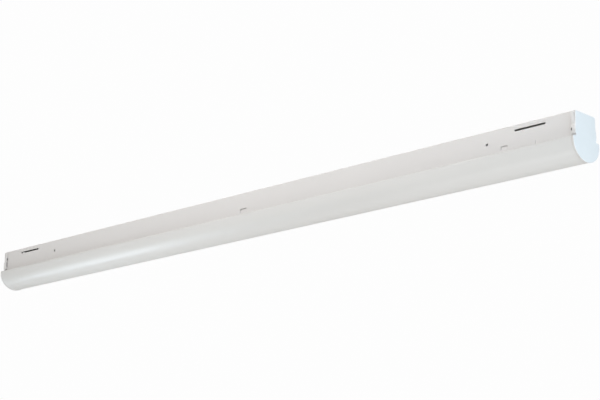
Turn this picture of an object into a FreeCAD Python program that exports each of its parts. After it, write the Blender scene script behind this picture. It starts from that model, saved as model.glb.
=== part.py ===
import FreeCAD, Part
import math
import os

# Four-foot LED strip light, millimetres, +Z up.
# The origin is the middle of the ceiling face, X runs along the light and -Y is its front.
# A folded steel channel hangs from the ceiling. A roll-formed gear tray snaps into it from
# below and carries the driver, the LED boards and the leads. A frosted D-shaped lens snaps
# over the beads of the tray, and a moulded cap closes each end.

# Overall sizes
LENGTH = 1219.2
CHANNEL_WIDTH = 44.6
CHANNEL_DEPTH = 35.5
OVERALL_DEPTH = 66.1
SHEET = 0.8
BEND = 0.8

# Lens section
LENS_WIDTH = 59.9
LENS_TOP = -35.9
LENS_WALL = 1.8
SHOULDER_R = 2.2
LENS_SIDE_Z = -39.5
LENS_BASE_R = 33.0
LENS_LIP_Y = 20.8
LENS_END_GAP = 1.6

# End caps
CAP_FACE = 1.5
CAP_RIM_DEPTH = 8.0
CAP_RIM = 1.0
CAP_HALF_WIDTH = 23.5
CAP_TOP = -0.3
CAP_TOP_R = 2.5
CAP_RIM_TOP = -1.2
CAP_FLARE_START = -18.5
CAP_FLARE_END = -20.5
CAP_FLARE_HALF_WIDTH = 24.7
CAP_FLARE_R = 2.0
CAP_SIDE_END = -32.3
CAP_CORNER_R = 0.8
CAP_NOTCH_HALF_WIDTH = 23.6
CAP_OVER_LENS = 0.65
CAP_SLIT = 0.8
CAP_SLIT_BOTTOM = -10.5
CAP_NOTCH_TOP = -11.0
CAP_NOTCH_BOTTOM = -27.5
CAP_NOTCH = 1.2
CAP_EYE = 2.6
CAP_EYE_HEIGHT = 4.0
TONGUE_Y = 21.2
TONGUE = 1.2
TONGUE_WIDTH = 9.5
TONGUE_LENGTH = 6.1
BARB = 0.9
BARB_LENGTH = 2.6

# Heights of the tongue's top and of the eye's lower edge, on the two sides of the one cap moulding
CAP_FRONT = (-9.0, -27.5)
CAP_BACK = (-18.2, -16.0)

# Channel features
HEM_HEIGHT = 3.8
HEM_INNER_Y = 20.55
HEM_CHAMFER = 0.3
CHANNEL_END_GAP = 1.1
LATCH_WINDOW = 3.6
LATCH_WINDOW_FROM_END = 3.0
LATCH_PLAY = 0.6
EYE_HOLE = 2.8
EYE_HOLE_LEAD = 0.4
SLOT_LENGTH = 50.0
SLOT_WIDTH = 2.8
SLOT_FROM_END = 72.15
SLOT_Z = -8.0
HANG_HOLE_R = 1.9
HANG_HOLE_FROM_END = 142.9
HANG_HOLE_Z = -18.6
CATCH_WIDTH = 14.0
CATCH_TOP = -25.2
CATCH_BOTTOM = -31.4
STOP_WIDTH = 11.0
STOP_TOP = -25.6
STOP_BOTTOM = -31.0
STOP_FROM_END = 114.5
LANCE_DEPTH = 1.3
LANCE_SLIT = 0.4
TICK_FROM_END = 64.2
TICK_WIDTH = 0.8
TICK_TOP = -28.0
TICK_BOTTOM = -33.2
SUPPLY_HOLE_X = -38.1
SUPPLY_HOLE_R = 11.1
KNOCKOUT_X = 457.2
KNOCKOUT_GAP = 0.6
KNOCKOUT_TIE = 2.4
KNOCKOUT_SIDES = 24
SCREW_HOLE_R = 3.5
OUTER_SCREW_SPACING = 1168.4
INNER_SCREW_SPACING = 609.6
DIMPLE_X = -75.0
DIMPLE_DEPTH = 2.6
DIMPLE_MOUTH_R = 10.0
DIMPLE_FLOOR_R = 7.0
GROUND_HOLE_R = 2.2

# Gear tray
TRAY_HALF_LENGTH = 604.0
TRAY_HALF_WIDTH = 20.2
TRAY_FLOOR = -40.5
TRAY_WALL_TOP = -28.5
BEAD_Z = -38.8
BEAD_OUT = 1.9
BEAD_HALF_HEIGHT = 1.0
BEAD_BEND = 0.15
DETENT_LENGTH = 14.0
DETENT_HALF_HEIGHT = 1.3
DETENT_CREST = 0.8
DETENT_OUT = 0.8
DETENT_Z = -29.8
DETENT_COUNT = 6
DETENT_PITCH = 210.0

# LED boards
BOARD_WIDTH = 18.0
BOARD = 1.2
BOARD_INNER_X = 13.0
BOARD_OUTER_X = 597.0
BOARD_NOTCH = 3.0
LED_SIZE = 3.0
LED_HEIGHT = 0.7
LED_COUNT = 28
BOARD_SCREW_X = (84.0, 240.0, 396.0, 580.0)
BOARD_SCREW_Y = 6.0
BOARD_SCREW_R = 1.4
BOARD_SCREW_HEAD_R = 2.6
BOARD_SCREW_HEAD = 1.5
BOARD_SCREW_TIP = 1.4
CONNECTOR_LENGTH = 12.0
CONNECTOR_WIDTH = 6.4
CONNECTOR_HEIGHT = 4.8
CONNECTOR_Y = 5.6
CONNECTOR_FACE_X = 31.0
CONNECTOR_CHAMFER = 0.8
CONNECTOR_BORE = 6.0
CONNECTOR_WIRE_PITCH = 2.8

# Driver
DRIVER_START = 60.0
DRIVER_LENGTH = 280.0
DRIVER_WIDTH = 30.0
DRIVER_HEIGHT = 20.5
DRIVER_STANDOFF = 2.0
DRIVER_CORNER_R = 1.2
DRIVER_LID_LAP = 7.0
DRIVER_LID_PLAY = 0.1
DRIVER_LID_BEND = 0.4
DRIVER_BASE_TOP_GAP = 0.3
DRIVER_FOOT_LENGTH = 11.0
DRIVER_FOOT_WIDTH = 11.0
DRIVER_FOOT_Y = 9.5
DRIVER_FOOT_RISE = 5.0
DRIVER_SCREW_R = 1.9
DRIVER_SCREW_HEAD_R = 3.6
DRIVER_SCREW_HEAD = 2.2
DRIVER_SCREW_TIP = 1.6
OUTPUT_WINDOW = 14.0
INPUT_WINDOW = 8.8
LEAD_WINDOW_HEIGHT = 4.0
BUSHING_NECK = 3.0
BUSHING_FLANGE = 2.0
BUSHING_LIP = 1.0
POTTING_INSET = 8.0
LEAD_EXIT_Z = -31.0

# Leads and their fittings
LEAD_R = 0.9
LEAD_SIDES = 6
SHANK_SIDES = 10
HOLE_PLAY = 0.1
GROUND_LEAD_R = 1.1
GROUND_SCREW_R = 2.0
GROUND_WASHER_R = 4.6
GROUND_HEAD_R = 3.5
GROUND_HEAD = 2.4
GROUND_TIP_Z = -0.6
RING_R = 5.0
BARREL_R = 2.0
BARREL_LENGTH = 6.0
BARREL_SETBACK = 8.0
BARREL_DROP = 1.6
GROMMET_HOLE_R = 5.0
GROMMET_BORE_R = 3.4
GROMMET_FLANGE_R = 6.8
GROMMET_LIP = 1.1
GROMMET_SIDES = 16
WASHER_SIDES = 16
SLEEVE_R = 1.6
SLEEVE_LENGTH = 12.0
SLEEVE_OVERLAP = 8.0
CLIP_BASE = 1.0
CLIP_WALL = 0.9
CLIP_PLAY = 0.25
CLIP_LENGTH = 7.0
CLIP_PAD_REACH = 2.0
CLIP_CROWN_R = 1.2
PLUG_START = 410.0
PLUG_LENGTH = 18.0
PLUG_WIDTH = 13.0
PLUG_HEIGHT = 9.0
PLUG_EDGE_R = 0.8
NOSE_LENGTH = 8.0
NOSE_INSET_Y = 1.8
NOSE_INSET_Z = 1.6
NOSE_PLAY = 0.3
SOCKET_GAP = 0.3
GRIP_COUNT = 5
GRIP_PITCH = 2.0
GRIP_DEPTH = 0.5
HOUSE_WIRE_R = 1.3
HOUSE_WIRE_DEPTH = 7.0

HALF_LENGTH = LENGTH / 2
HALF_WIDTH = CHANNEL_WIDTH / 2
CHANNEL_HALF_LENGTH = HALF_LENGTH - CAP_FACE - CHANNEL_END_GAP
TRAY_TOP = TRAY_FLOOR + SHEET
BOARD_FACE = TRAY_FLOOR - BOARD
DRIVER_FLOOR = TRAY_TOP + DRIVER_STANDOFF
DRIVER_END = DRIVER_START + DRIVER_LENGTH
CONNECTOR_WIRE_Z = BOARD_FACE - CONNECTOR_HEIGHT / 2
PLUG_WIRE_Z = TRAY_TOP + PLUG_HEIGHT / 2


def vec(x, y, z):
    return FreeCAD.Vector(x, y, z)


def box(x0, x1, y0, y1, z0, z1):
    """Block between two corners."""
    low = vec(min(x0, x1), min(y0, y1), min(z0, z1))
    return Part.makeBox(abs(x1 - x0), abs(y1 - y0), abs(z1 - z0), low)


def rod(start, end, radius):
    """Cylinder from one point to another."""
    axis = end - start
    return Part.makeCylinder(radius, axis.Length, start, axis)


def faceted_rod(start, end, radius, sides):
    """Prism with the section of a regular polygon whose flats stand at the radius."""
    circle_r = radius / math.cos(math.pi / sides)
    axis = unit(end - start)
    across = unit(axis.cross(vec(0, 0, 1) if abs(axis.z) < 0.9 else vec(1, 0, 0)))
    over = axis.cross(across)
    corners = []
    for index in range(sides):
        turn = 2 * math.pi * (index + 0.5) / sides
        corners.append(start + across * (circle_r * math.cos(turn)) + over * (circle_r * math.sin(turn)))
    return Part.Face(Part.makePolygon(corners + corners[:1])).extrude(end - start)


def mirrored_x(shape):
    """The same piece at the other end of the light."""
    return shape.mirror(vec(0, 0, 0), vec(1, 0, 0))


def turned_round(shape):
    """The same piece turned half round about Z, for the left end."""
    return shape.rotated(vec(0, 0, 0), vec(0, 0, 1), 180)


def mirrored_y(shape):
    """The same feature on the other side of the light."""
    return shape.mirror(vec(0, 0, 0), vec(0, 1, 0))


def unit(vector):
    return vector * (1 / vector.Length)


def tangent_path(points, radii):
    """Straight runs joined by tangent arcs; a radius of 0 leaves a corner sharp."""
    edges = []
    start = points[0]
    for before, corner, after, radius in zip(points, points[1:], points[2:], radii):
        if radius == 0:
            edges.append(Part.LineSegment(start, corner).toShape())
            start = corner
            continue
        back = unit(before - corner)
        ahead = unit(after - corner)
        half_angle = back.getAngle(ahead) / 2
        setback = radius / math.tan(half_angle)
        arc_start = corner + back * setback
        arc_end = corner + ahead * setback
        arc_middle = corner + unit(back + ahead) * (radius / math.sin(half_angle) - radius)
        edges.append(Part.LineSegment(start, arc_start).toShape())
        edges.append(Part.Arc(arc_start, arc_middle, arc_end).toShape())
        start = arc_end
    edges.append(Part.LineSegment(start, points[-1]).toShape())
    return edges


def bar(edges, x0, x1):
    """Solid of one section in the YZ plane, run from x0 to x1."""
    face = Part.Face(Part.Wire(Part.sortEdges(edges)[0]))
    face.translate(vec(x0, 0, 0))
    return face.extrude(vec(x1 - x0, 0, 0))


def section_points(pairs):
    return [vec(0, y, z) for y, z in pairs]


def polygon_bar(pairs, x0, x1):
    """Bar of a straight-sided section given as (y, z) corners."""
    corners = section_points(pairs)
    wire = Part.makePolygon(corners + corners[:1])
    return bar(wire.Edges, x0, x1)


def offset_path(points, distance):
    """The same path, moved to its right by a distance, with mitred corners."""
    def right_of(start, end):
        run = unit(end - start)
        return vec(0, run.z, -run.y)

    sides = [right_of(a, b) for a, b in zip(points, points[1:])]
    moved = [points[0] + sides[0] * distance]
    for corner, side, following in zip(points[1:], sides, sides[1:]):
        middle = unit(side + following)
        moved.append(corner + middle * (distance / middle.dot(side)))
    moved.append(points[-1] + sides[-1] * distance)
    return moved


def folded_sheet(pairs, thickness, bend, x0, x1):
    """Bar of a folded sheet. The path is one face, and the sheet lies to its right."""
    near = section_points(pairs)
    far = offset_path(near, thickness)
    near_radii = []
    far_radii = []
    for before, corner, after in zip(near, near[1:], near[2:]):
        turns_right = (corner - before).cross(after - corner).x < 0
        near_radii.append(bend + thickness if turns_right else bend)
        far_radii.append(bend if turns_right else bend + thickness)
    edges = tangent_path(near, near_radii) + tangent_path(far, far_radii)
    edges.append(Part.LineSegment(near[0], far[0]).toShape())
    edges.append(Part.LineSegment(near[-1], far[-1]).toShape())
    return bar(edges, x0, x1)


def section_arc(centre_y, centre_z, radius, start_deg, end_deg):
    """Arc in the YZ plane, with angles from +Y towards +Z."""
    def at(degrees):
        turn = math.radians(degrees)
        return vec(0, centre_y + radius * math.cos(turn), centre_z + radius * math.sin(turn))

    return Part.Arc(at(start_deg), at((start_deg + end_deg) / 2), at(end_deg)).toShape()


def lens_path(offset, inner_y):
    """The D of the lens, moved outwards by an offset, between two points of its flat top.

    The base and the sides are arcs that meet in a tangent, and each side runs up into a
    small vertical stretch and a rounded shoulder.
    """
    half = LENS_WIDTH / 2
    base_z = -OVERALL_DEPTH + LENS_BASE_R
    drop = base_z - LENS_SIDE_Z
    side_r = (LENS_BASE_R**2 - half**2 - drop**2) / (2 * (LENS_BASE_R - half))
    side_y = half - side_r
    meet = math.degrees(math.atan2(drop, side_y))
    top = LENS_TOP + offset
    shoulder_z = LENS_TOP - SHOULDER_R
    shoulder_y = half - SHOULDER_R
    edges = [section_arc(0, base_z, LENS_BASE_R + offset, meet - 180, -meet)]
    for side in (-1, 1):
        sweep = (-meet, 0) if side > 0 else (meet - 180, -180)
        shoulder = (0, 90) if side > 0 else (180, 90)
        flank = side * (half + offset)
        edges.append(section_arc(side * side_y, LENS_SIDE_Z, side_r + offset, *sweep))
        edges.append(Part.LineSegment(vec(0, flank, LENS_SIDE_Z), vec(0, flank, shoulder_z)).toShape())
        edges.append(section_arc(side * shoulder_y, shoulder_z, SHOULDER_R + offset, *shoulder))
        edges.append(
            Part.LineSegment(vec(0, side * shoulder_y, top), vec(0, side * inner_y, top)).toShape()
        )
    return edges


def obround_cut(x, z, length, width):
    """Cutter across the channel for a slot with round ends that runs along X."""
    radius = width / 2
    reach = length / 2 - radius
    cutter = box(x - reach, x + reach, -HALF_WIDTH - 1, HALF_WIDTH + 1, z - radius, z + radius)
    for end in (x - reach, x + reach):
        cutter = cutter.fuse(rod(vec(end, -HALF_WIDTH - 1, z), vec(end, HALF_WIDTH + 1, z), radius))
    return cutter


def wall_window(x, width, bottom, top):
    """Cutter for a square-cornered window through both walls of the channel."""
    return box(x - width / 2, x + width / 2, -HALF_WIDTH - 1, HALF_WIDTH + 1, bottom, top)


def add_lance(channel, x, width, top, bottom):
    """Three-sided cut in both walls, with the tab bent inwards about its lower edge."""
    slit_top = top - LANCE_SLIT
    tab = [
        (HALF_WIDTH, bottom),
        (HALF_WIDTH - LANCE_DEPTH, slit_top),
        (HALF_WIDTH - LANCE_DEPTH - SHEET, slit_top),
        (HALF_WIDTH - SHEET, bottom),
    ]
    window = box(x - width / 2, x + width / 2, HALF_WIDTH - SHEET - 1, HALF_WIDTH + 1, bottom, top)
    reach = width / 2 - LANCE_SLIT
    tongue = polygon_bar(tab, x - reach, x + reach)
    channel = channel.cut(window).cut(mirrored_y(window))
    return channel.fuse(tongue).fuse(mirrored_y(tongue))


def top_hole(x, radius):
    """Cutter for a round hole through the top sheet."""
    return rod(vec(x, 0, -SHEET - 1), vec(x, 0, 1), radius)


def knockout_slit(x):
    """Ring-shaped shear line of a knockout, left uncut at two ties."""
    def disc(radius):
        return faceted_rod(vec(x, 0, -SHEET - 1), vec(x, 0, 1), radius, KNOCKOUT_SIDES)

    ring = disc(SUPPLY_HOLE_R).cut(disc(SUPPLY_HOLE_R - KNOCKOUT_GAP))
    ties = box(x - SUPPLY_HOLE_R, x + SUPPLY_HOLE_R, -KNOCKOUT_TIE / 2, KNOCKOUT_TIE / 2,
               -SHEET - 1, 1)
    return ring.cut(ties)


def ground_dimple():
    """Pressed cup in the top sheet that keeps the ground screw below the ceiling face."""
    floor = -DIMPLE_DEPTH
    profile = [
        vec(DIMPLE_FLOOR_R - SHEET, 0, floor),
        vec(DIMPLE_MOUTH_R - SHEET / 2, 0, 0),
        vec(DIMPLE_MOUTH_R + SHEET / 2, 0, 0),
        vec(DIMPLE_MOUTH_R + SHEET / 2, 0, -SHEET),
        vec(DIMPLE_MOUTH_R, 0, -SHEET),
        vec(DIMPLE_FLOOR_R, 0, floor - SHEET),
        vec(GROUND_HOLE_R, 0, floor - SHEET),
        vec(GROUND_HOLE_R, 0, floor),
    ]
    wire = Part.makePolygon(profile + profile[:1])
    cup = Part.Face(wire).revolve(vec(0, 0, 0), vec(0, 0, 1), 360)
    cup.translate(vec(DIMPLE_X, 0, 0))
    return cup


def cap_ports(tongue_top, eye_bottom):
    """Cutters in the +Y wall at the right end: a tongue's latch window and the hole under an eye."""
    latch_x = CHANNEL_HALF_LENGTH - LATCH_WINDOW_FROM_END
    eye_x = HALF_LENGTH - CAP_RIM_DEPTH - EYE_HOLE_LEAD
    latch = box(latch_x - LATCH_WINDOW / 2, latch_x + LATCH_WINDOW / 2, 0, HALF_WIDTH + 1,
                tongue_top - TONGUE_WIDTH - LATCH_PLAY, tongue_top + LATCH_PLAY)
    eye = box(eye_x, eye_x + EYE_HOLE, 0, HALF_WIDTH + 1, eye_bottom, eye_bottom + CAP_EYE_HEIGHT)
    return latch.fuse(eye)


def channel_housing():
    """Folded steel channel: hemmed lower edges, slots, lances, knockouts and screw holes."""
    hem_top = -CHANNEL_DEPTH + HEM_HEIGHT
    path = [
        (-HALF_WIDTH, -CHANNEL_DEPTH),
        (-HALF_WIDTH, 0),
        (HALF_WIDTH, 0),
        (HALF_WIDTH, -CHANNEL_DEPTH),
    ]
    end = CHANNEL_HALF_LENGTH
    channel = folded_sheet(path, SHEET, BEND, -end, end)

    hem = [
        (HALF_WIDTH - SHEET, -CHANNEL_DEPTH),
        (HEM_INNER_Y + HEM_CHAMFER, -CHANNEL_DEPTH),
        (HEM_INNER_Y, -CHANNEL_DEPTH + HEM_CHAMFER),
        (HEM_INNER_Y, hem_top),
        (HALF_WIDTH - SHEET, hem_top),
    ]
    return_fold = polygon_bar(hem, -end, end)
    channel = channel.fuse([return_fold, mirrored_y(return_fold)]).removeSplitter()

    for side in (-1, 1):
        slot_x = side * (HALF_LENGTH - SLOT_FROM_END)
        hole_x = side * (HALF_LENGTH - HANG_HOLE_FROM_END)
        channel = channel.cut(obround_cut(slot_x, SLOT_Z, SLOT_LENGTH, SLOT_WIDTH))
        channel = channel.cut(rod(vec(hole_x, -HALF_WIDTH - 1, HANG_HOLE_Z),
                                  vec(hole_x, HALF_WIDTH + 1, HANG_HOLE_Z), HANG_HOLE_R))
        channel = channel.cut(knockout_slit(side * KNOCKOUT_X))
        for spacing in (OUTER_SCREW_SPACING, INNER_SCREW_SPACING):
            screw_x = side * spacing / 2
            channel = channel.cut(top_hole(screw_x, SCREW_HOLE_R))
    channel = channel.cut(wall_window(HALF_LENGTH - TICK_FROM_END, TICK_WIDTH, TICK_BOTTOM, TICK_TOP))
    channel = add_lance(channel, HALF_LENGTH - STOP_FROM_END, STOP_WIDTH, STOP_TOP, STOP_BOTTOM)
    channel = add_lance(channel, 0, CATCH_WIDTH, CATCH_TOP, CATCH_BOTTOM)
    ports = [cap_ports(*CAP_BACK), mirrored_y(cap_ports(*CAP_FRONT))]
    channel = channel.cut(ports + [turned_round(port) for port in ports])

    channel = channel.cut([top_hole(SUPPLY_HOLE_X, SUPPLY_HOLE_R), top_hole(DIMPLE_X, DIMPLE_MOUTH_R)])
    return channel.fuse(ground_dimple()).removeSplitter()


def cap_outline():
    """Outline of the end cap: channel part with stepped sides, relief notches and the D."""
    over_lens_top = LENS_TOP + CAP_OVER_LENS
    upper = section_points([
        (CAP_NOTCH_HALF_WIDTH, over_lens_top),
        (CAP_NOTCH_HALF_WIDTH, CAP_SIDE_END),
        (CAP_FLARE_HALF_WIDTH, CAP_SIDE_END),
        (CAP_FLARE_HALF_WIDTH, CAP_FLARE_END),
        (CAP_HALF_WIDTH, CAP_FLARE_START),
        (CAP_HALF_WIDTH, CAP_TOP),
        (-CAP_HALF_WIDTH, CAP_TOP),
        (-CAP_HALF_WIDTH, CAP_FLARE_START),
        (-CAP_FLARE_HALF_WIDTH, CAP_FLARE_END),
        (-CAP_FLARE_HALF_WIDTH, CAP_SIDE_END),
        (-CAP_NOTCH_HALF_WIDTH, CAP_SIDE_END),
        (-CAP_NOTCH_HALF_WIDTH, over_lens_top),
    ])
    radii = [0, CAP_CORNER_R, CAP_FLARE_R, CAP_FLARE_R, CAP_TOP_R,
             CAP_TOP_R, CAP_FLARE_R, CAP_FLARE_R, CAP_CORNER_R, 0]
    return tangent_path(upper, radii) + lens_path(CAP_OVER_LENS, CAP_NOTCH_HALF_WIDTH)


def cap_side(tongue_top, eye_bottom):
    """Side of the right cap at +Y: the rim outside the channel, and the tongue inside it."""
    face_x = HALF_LENGTH - CAP_FACE
    rim_x = HALF_LENGTH - CAP_RIM_DEPTH
    inner = CAP_HALF_WIDTH - CAP_RIM
    lower_inner = CAP_FLARE_HALF_WIDTH - CAP_RIM
    rim = polygon_bar([
        (inner, CAP_RIM_TOP), (CAP_HALF_WIDTH, CAP_RIM_TOP), (CAP_HALF_WIDTH, CAP_FLARE_START),
        (CAP_FLARE_HALF_WIDTH, CAP_FLARE_END), (CAP_FLARE_HALF_WIDTH, CAP_SIDE_END),
        (lower_inner, CAP_SIDE_END), (lower_inner, CAP_FLARE_END), (inner, CAP_FLARE_START),
    ], rim_x, face_x)
    rim = rim.common(bar(cap_outline(), rim_x, face_x))
    slit = box(face_x - CAP_SLIT, face_x, 0, HALF_LENGTH, CAP_SLIT_BOTTOM, 1)
    notch = box(rim_x, rim_x + CAP_NOTCH, 0, HALF_LENGTH, CAP_NOTCH_BOTTOM, CAP_NOTCH_TOP)
    eye = box(rim_x, rim_x + CAP_EYE, 0, HALF_LENGTH, eye_bottom, eye_bottom + CAP_EYE_HEIGHT)
    rim = rim.cut([slit, notch, eye])

    tongue_x = face_x - TONGUE_LENGTH
    tongue_bottom = tongue_top - TONGUE_WIDTH
    tongue = box(tongue_x, face_x, TONGUE_Y - TONGUE, TONGUE_Y, tongue_bottom, tongue_top)
    barb = Part.Face(Part.makePolygon([
        vec(tongue_x, TONGUE_Y, tongue_bottom),
        vec(tongue_x + BARB_LENGTH, TONGUE_Y + BARB, tongue_bottom),
        vec(tongue_x + BARB_LENGTH, TONGUE_Y, tongue_bottom),
        vec(tongue_x, TONGUE_Y, tongue_bottom),
    ])).extrude(vec(0, 0, TONGUE_WIDTH))
    return [rim, tongue, barb]


def end_cap():
    """Moulded right end cap: face, side rims over the channel and two snap tongues."""
    face = bar(cap_outline(), HALF_LENGTH - CAP_FACE, HALF_LENGTH)
    front = [mirrored_y(shape) for shape in cap_side(*CAP_FRONT)]
    return face.fuse(cap_side(*CAP_BACK) + front).removeSplitter()


def lens_diffuser():
    """Extruded frosted lens: D section with lips that snap over the beads of the tray."""
    lip_bottom = LENS_TOP - LENS_WALL
    edges = lens_path(0, LENS_LIP_Y) + lens_path(-LENS_WALL, LENS_LIP_Y)
    for side in (-1, 1):
        lip = side * LENS_LIP_Y
        edges.append(Part.LineSegment(vec(0, lip, LENS_TOP), vec(0, lip, lip_bottom)).toShape())
    end = HALF_LENGTH - CAP_FACE - LENS_END_GAP
    return bar(edges, -end, end)


def screw_hole(place, low, high, shank_r):
    """Cutter for the hole that a screw shank passes through, with a little play."""
    return faceted_rod(place + vec(0, 0, low), place + vec(0, 0, high),
                       shank_r + HOLE_PLAY, SHANK_SIDES)


def tray_screw_places():
    """Places of the screws that hold the boards, on both halves of the tray."""
    return [vec(side * x, BOARD_SCREW_Y, 0) for side in (-1, 1) for x in BOARD_SCREW_X]


def driver_screw_places():
    """The two feet of the driver stand at opposite corners, clear of the boards below."""
    reach = DRIVER_FOOT_LENGTH / 2 + 0.5
    return [vec(DRIVER_START - reach, DRIVER_FOOT_Y + 3.0, 0),
            vec(DRIVER_END + reach, -DRIVER_FOOT_Y - 3.0, 0)]


def detent_rib(x, side):
    """Flat-crested rib pressed outwards in a tray wall, and the hollow behind it."""
    def ridge(base_y, half_height, reach):
        crest_y = base_y + side * DETENT_OUT
        return polygon_bar([(base_y, DETENT_Z - half_height), (crest_y, DETENT_Z - DETENT_CREST / 2),
                            (crest_y, DETENT_Z + DETENT_CREST / 2), (base_y, DETENT_Z + half_height)],
                           x - reach, x + reach)

    wall = side * TRAY_HALF_WIDTH
    rib = ridge(wall, DETENT_HALF_HEIGHT, DETENT_LENGTH / 2)
    hollow = ridge(wall - side * SHEET, DETENT_HALF_HEIGHT - SHEET / 3, DETENT_LENGTH / 2 - SHEET)
    return rib, hollow


def gear_tray():
    """Roll-formed tray: floor, walls with an outward bead, and pressed spring detents."""
    bead_y = TRAY_HALF_WIDTH + BEAD_OUT
    path = [
        (TRAY_HALF_WIDTH, TRAY_WALL_TOP),
        (TRAY_HALF_WIDTH, BEAD_Z + BEAD_HALF_HEIGHT),
        (bead_y, BEAD_Z),
        (TRAY_HALF_WIDTH, BEAD_Z - BEAD_HALF_HEIGHT),
        (TRAY_HALF_WIDTH, TRAY_FLOOR),
    ]
    path += [(-y, z) for y, z in reversed(path)]
    tray = folded_sheet(path, SHEET, BEAD_BEND, -TRAY_HALF_LENGTH, TRAY_HALF_LENGTH)

    ribs = []
    pressings = []
    for index in range(DETENT_COUNT):
        x = (index - (DETENT_COUNT - 1) / 2) * DETENT_PITCH
        for side in (-1, 1):
            outer, inner = detent_rib(x, side)
            ribs.append(outer)
            pressings.append(inner)
    tray = tray.fuse(ribs).cut(pressings)

    holes = [faceted_rod(vec(0, 0, TRAY_FLOOR - 1), vec(0, 0, TRAY_TOP + 1),
                         GROMMET_HOLE_R, GROMMET_SIDES)]
    for place in tray_screw_places():
        holes.append(screw_hole(place, TRAY_FLOOR - 1, TRAY_TOP + 1, BOARD_SCREW_R))
    for place in driver_screw_places():
        holes.append(screw_hole(place, TRAY_FLOOR - 1, TRAY_TOP + 1, DRIVER_SCREW_R))
    return tray.cut(holes)


def led_board():
    """Right LED board, with its screw holes and a scored notch at each end."""
    half = BOARD_WIDTH / 2
    board = box(BOARD_INNER_X, BOARD_OUTER_X, -half, half, BOARD_FACE, TRAY_FLOOR)
    holes = [screw_hole(vec(x, BOARD_SCREW_Y, 0), BOARD_FACE - 1, TRAY_FLOOR + 1, BOARD_SCREW_R)
             for x in BOARD_SCREW_X]
    reach = BOARD_NOTCH / 2
    notches = [box(x - reach, x + reach, -reach, reach, BOARD_FACE - 1, TRAY_FLOOR + 1)
               for x in (BOARD_INNER_X, BOARD_OUTER_X)]
    return board.cut(holes + notches)


def led_packages():
    """Row of LED packages on the right board."""
    pitch = (BOARD_OUTER_X - BOARD_INNER_X) / LED_COUNT
    half = LED_SIZE / 2
    packages = []
    for index in range(LED_COUNT):
        x = BOARD_INNER_X + (index + 0.5) * pitch
        packages.append(box(x - half, x + half, -half, half, BOARD_FACE - LED_HEIGHT, BOARD_FACE))
    return Part.makeCompound(packages)


def board_connectors():
    """Push-in connectors at the inner ends of the boards, two on the right and one on the left."""
    connectors = []
    for side, y in ((1, CONNECTOR_Y), (1, -CONNECTOR_Y), (-1, -CONNECTOR_Y)):
        near = side * CONNECTOR_FACE_X
        far = side * (CONNECTOR_FACE_X + CONNECTOR_LENGTH)
        body = box(near, far, y - CONNECTOR_WIDTH / 2, y + CONNECTOR_WIDTH / 2,
                   BOARD_FACE - CONNECTOR_HEIGHT, BOARD_FACE)
        low_edges = [edge for edge in body.Edges
                     if abs(edge.CenterOfMass.z - BOARD_FACE + CONNECTOR_HEIGHT) < 0.01
                     and abs(edge.CenterOfMass.x - near) > 1]
        body = body.makeChamfer(CONNECTOR_CHAMFER, low_edges)
        for offset in (-CONNECTOR_WIRE_PITCH / 2, CONNECTOR_WIRE_PITCH / 2):
            entry = vec(near, y + offset, CONNECTOR_WIRE_Z)
            body = body.cut(lead_hole(entry - vec(side, 0, 0), entry + vec(side * CONNECTOR_BORE, 0, 0)))
        connectors.append(body)
    return Part.makeCompound(connectors)


def pan_head_screw(place, seat_z, tip_z, shank_r, head_r, head_height):
    """Screw along Z: a pan head that stands away from the tip on its seat, and a plain shank."""
    seat = place + vec(0, 0, seat_z)
    tip = place + vec(0, 0, tip_z)
    crown = seat - unit(tip - seat) * head_height
    head = faceted_rod(seat, crown, head_r, SHANK_SIDES)
    return head.fuse(faceted_rod(seat, tip, shank_r, SHANK_SIDES))


def board_screws():
    """Self-tapping screws up through each board into the tray floor."""
    screws = []
    for place in tray_screw_places():
        screws.append(pan_head_screw(place, BOARD_FACE, TRAY_TOP + BOARD_SCREW_TIP, BOARD_SCREW_R,
                                     BOARD_SCREW_HEAD_R, BOARD_SCREW_HEAD))
    return Part.makeCompound(screws)


def driver_base():
    """Lower shell of the driver: an open steel trough with a lead window at each end and two feet."""
    half = DRIVER_WIDTH / 2
    top = DRIVER_FLOOR + DRIVER_HEIGHT - SHEET - DRIVER_BASE_TOP_GAP
    trough = box(DRIVER_START, DRIVER_END, -half, half, DRIVER_FLOOR, top)
    upright = [edge for edge in trough.Edges if abs(edge.Vertexes[0].Z - edge.Vertexes[1].Z) > 1]
    trough = trough.makeFillet(DRIVER_CORNER_R, upright)
    trough = trough.cut(box(DRIVER_START + SHEET, DRIVER_END - SHEET, -half + SHEET, half - SHEET,
                            DRIVER_FLOOR + SHEET, top + 1))
    rise = LEAD_WINDOW_HEIGHT / 2
    for x, width in ((DRIVER_START, OUTPUT_WINDOW), (DRIVER_END, INPUT_WINDOW)):
        trough = trough.cut(box(x - 2, x + 2, -width / 2, width / 2,
                                LEAD_EXIT_Z - rise, LEAD_EXIT_Z + rise))
    foot_half = DRIVER_FOOT_WIDTH / 2
    for place, inboard, side in zip(driver_screw_places(), (DRIVER_START, DRIVER_END), (1, -1)):
        centre_y = side * DRIVER_FOOT_Y
        outboard = inboard + (-side) * DRIVER_FOOT_LENGTH
        pad = box(inboard, outboard, centre_y - foot_half, centre_y + foot_half,
                  TRAY_TOP, TRAY_TOP + SHEET)
        riser = box(inboard, inboard - side * SHEET, centre_y - foot_half, centre_y + foot_half,
                    TRAY_TOP, TRAY_TOP + DRIVER_FOOT_RISE)
        hole = screw_hole(place, TRAY_TOP - 1, TRAY_TOP + 2, DRIVER_SCREW_R)
        trough = trough.fuse([riser, pad]).cut(hole)
    return trough.removeSplitter()


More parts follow.
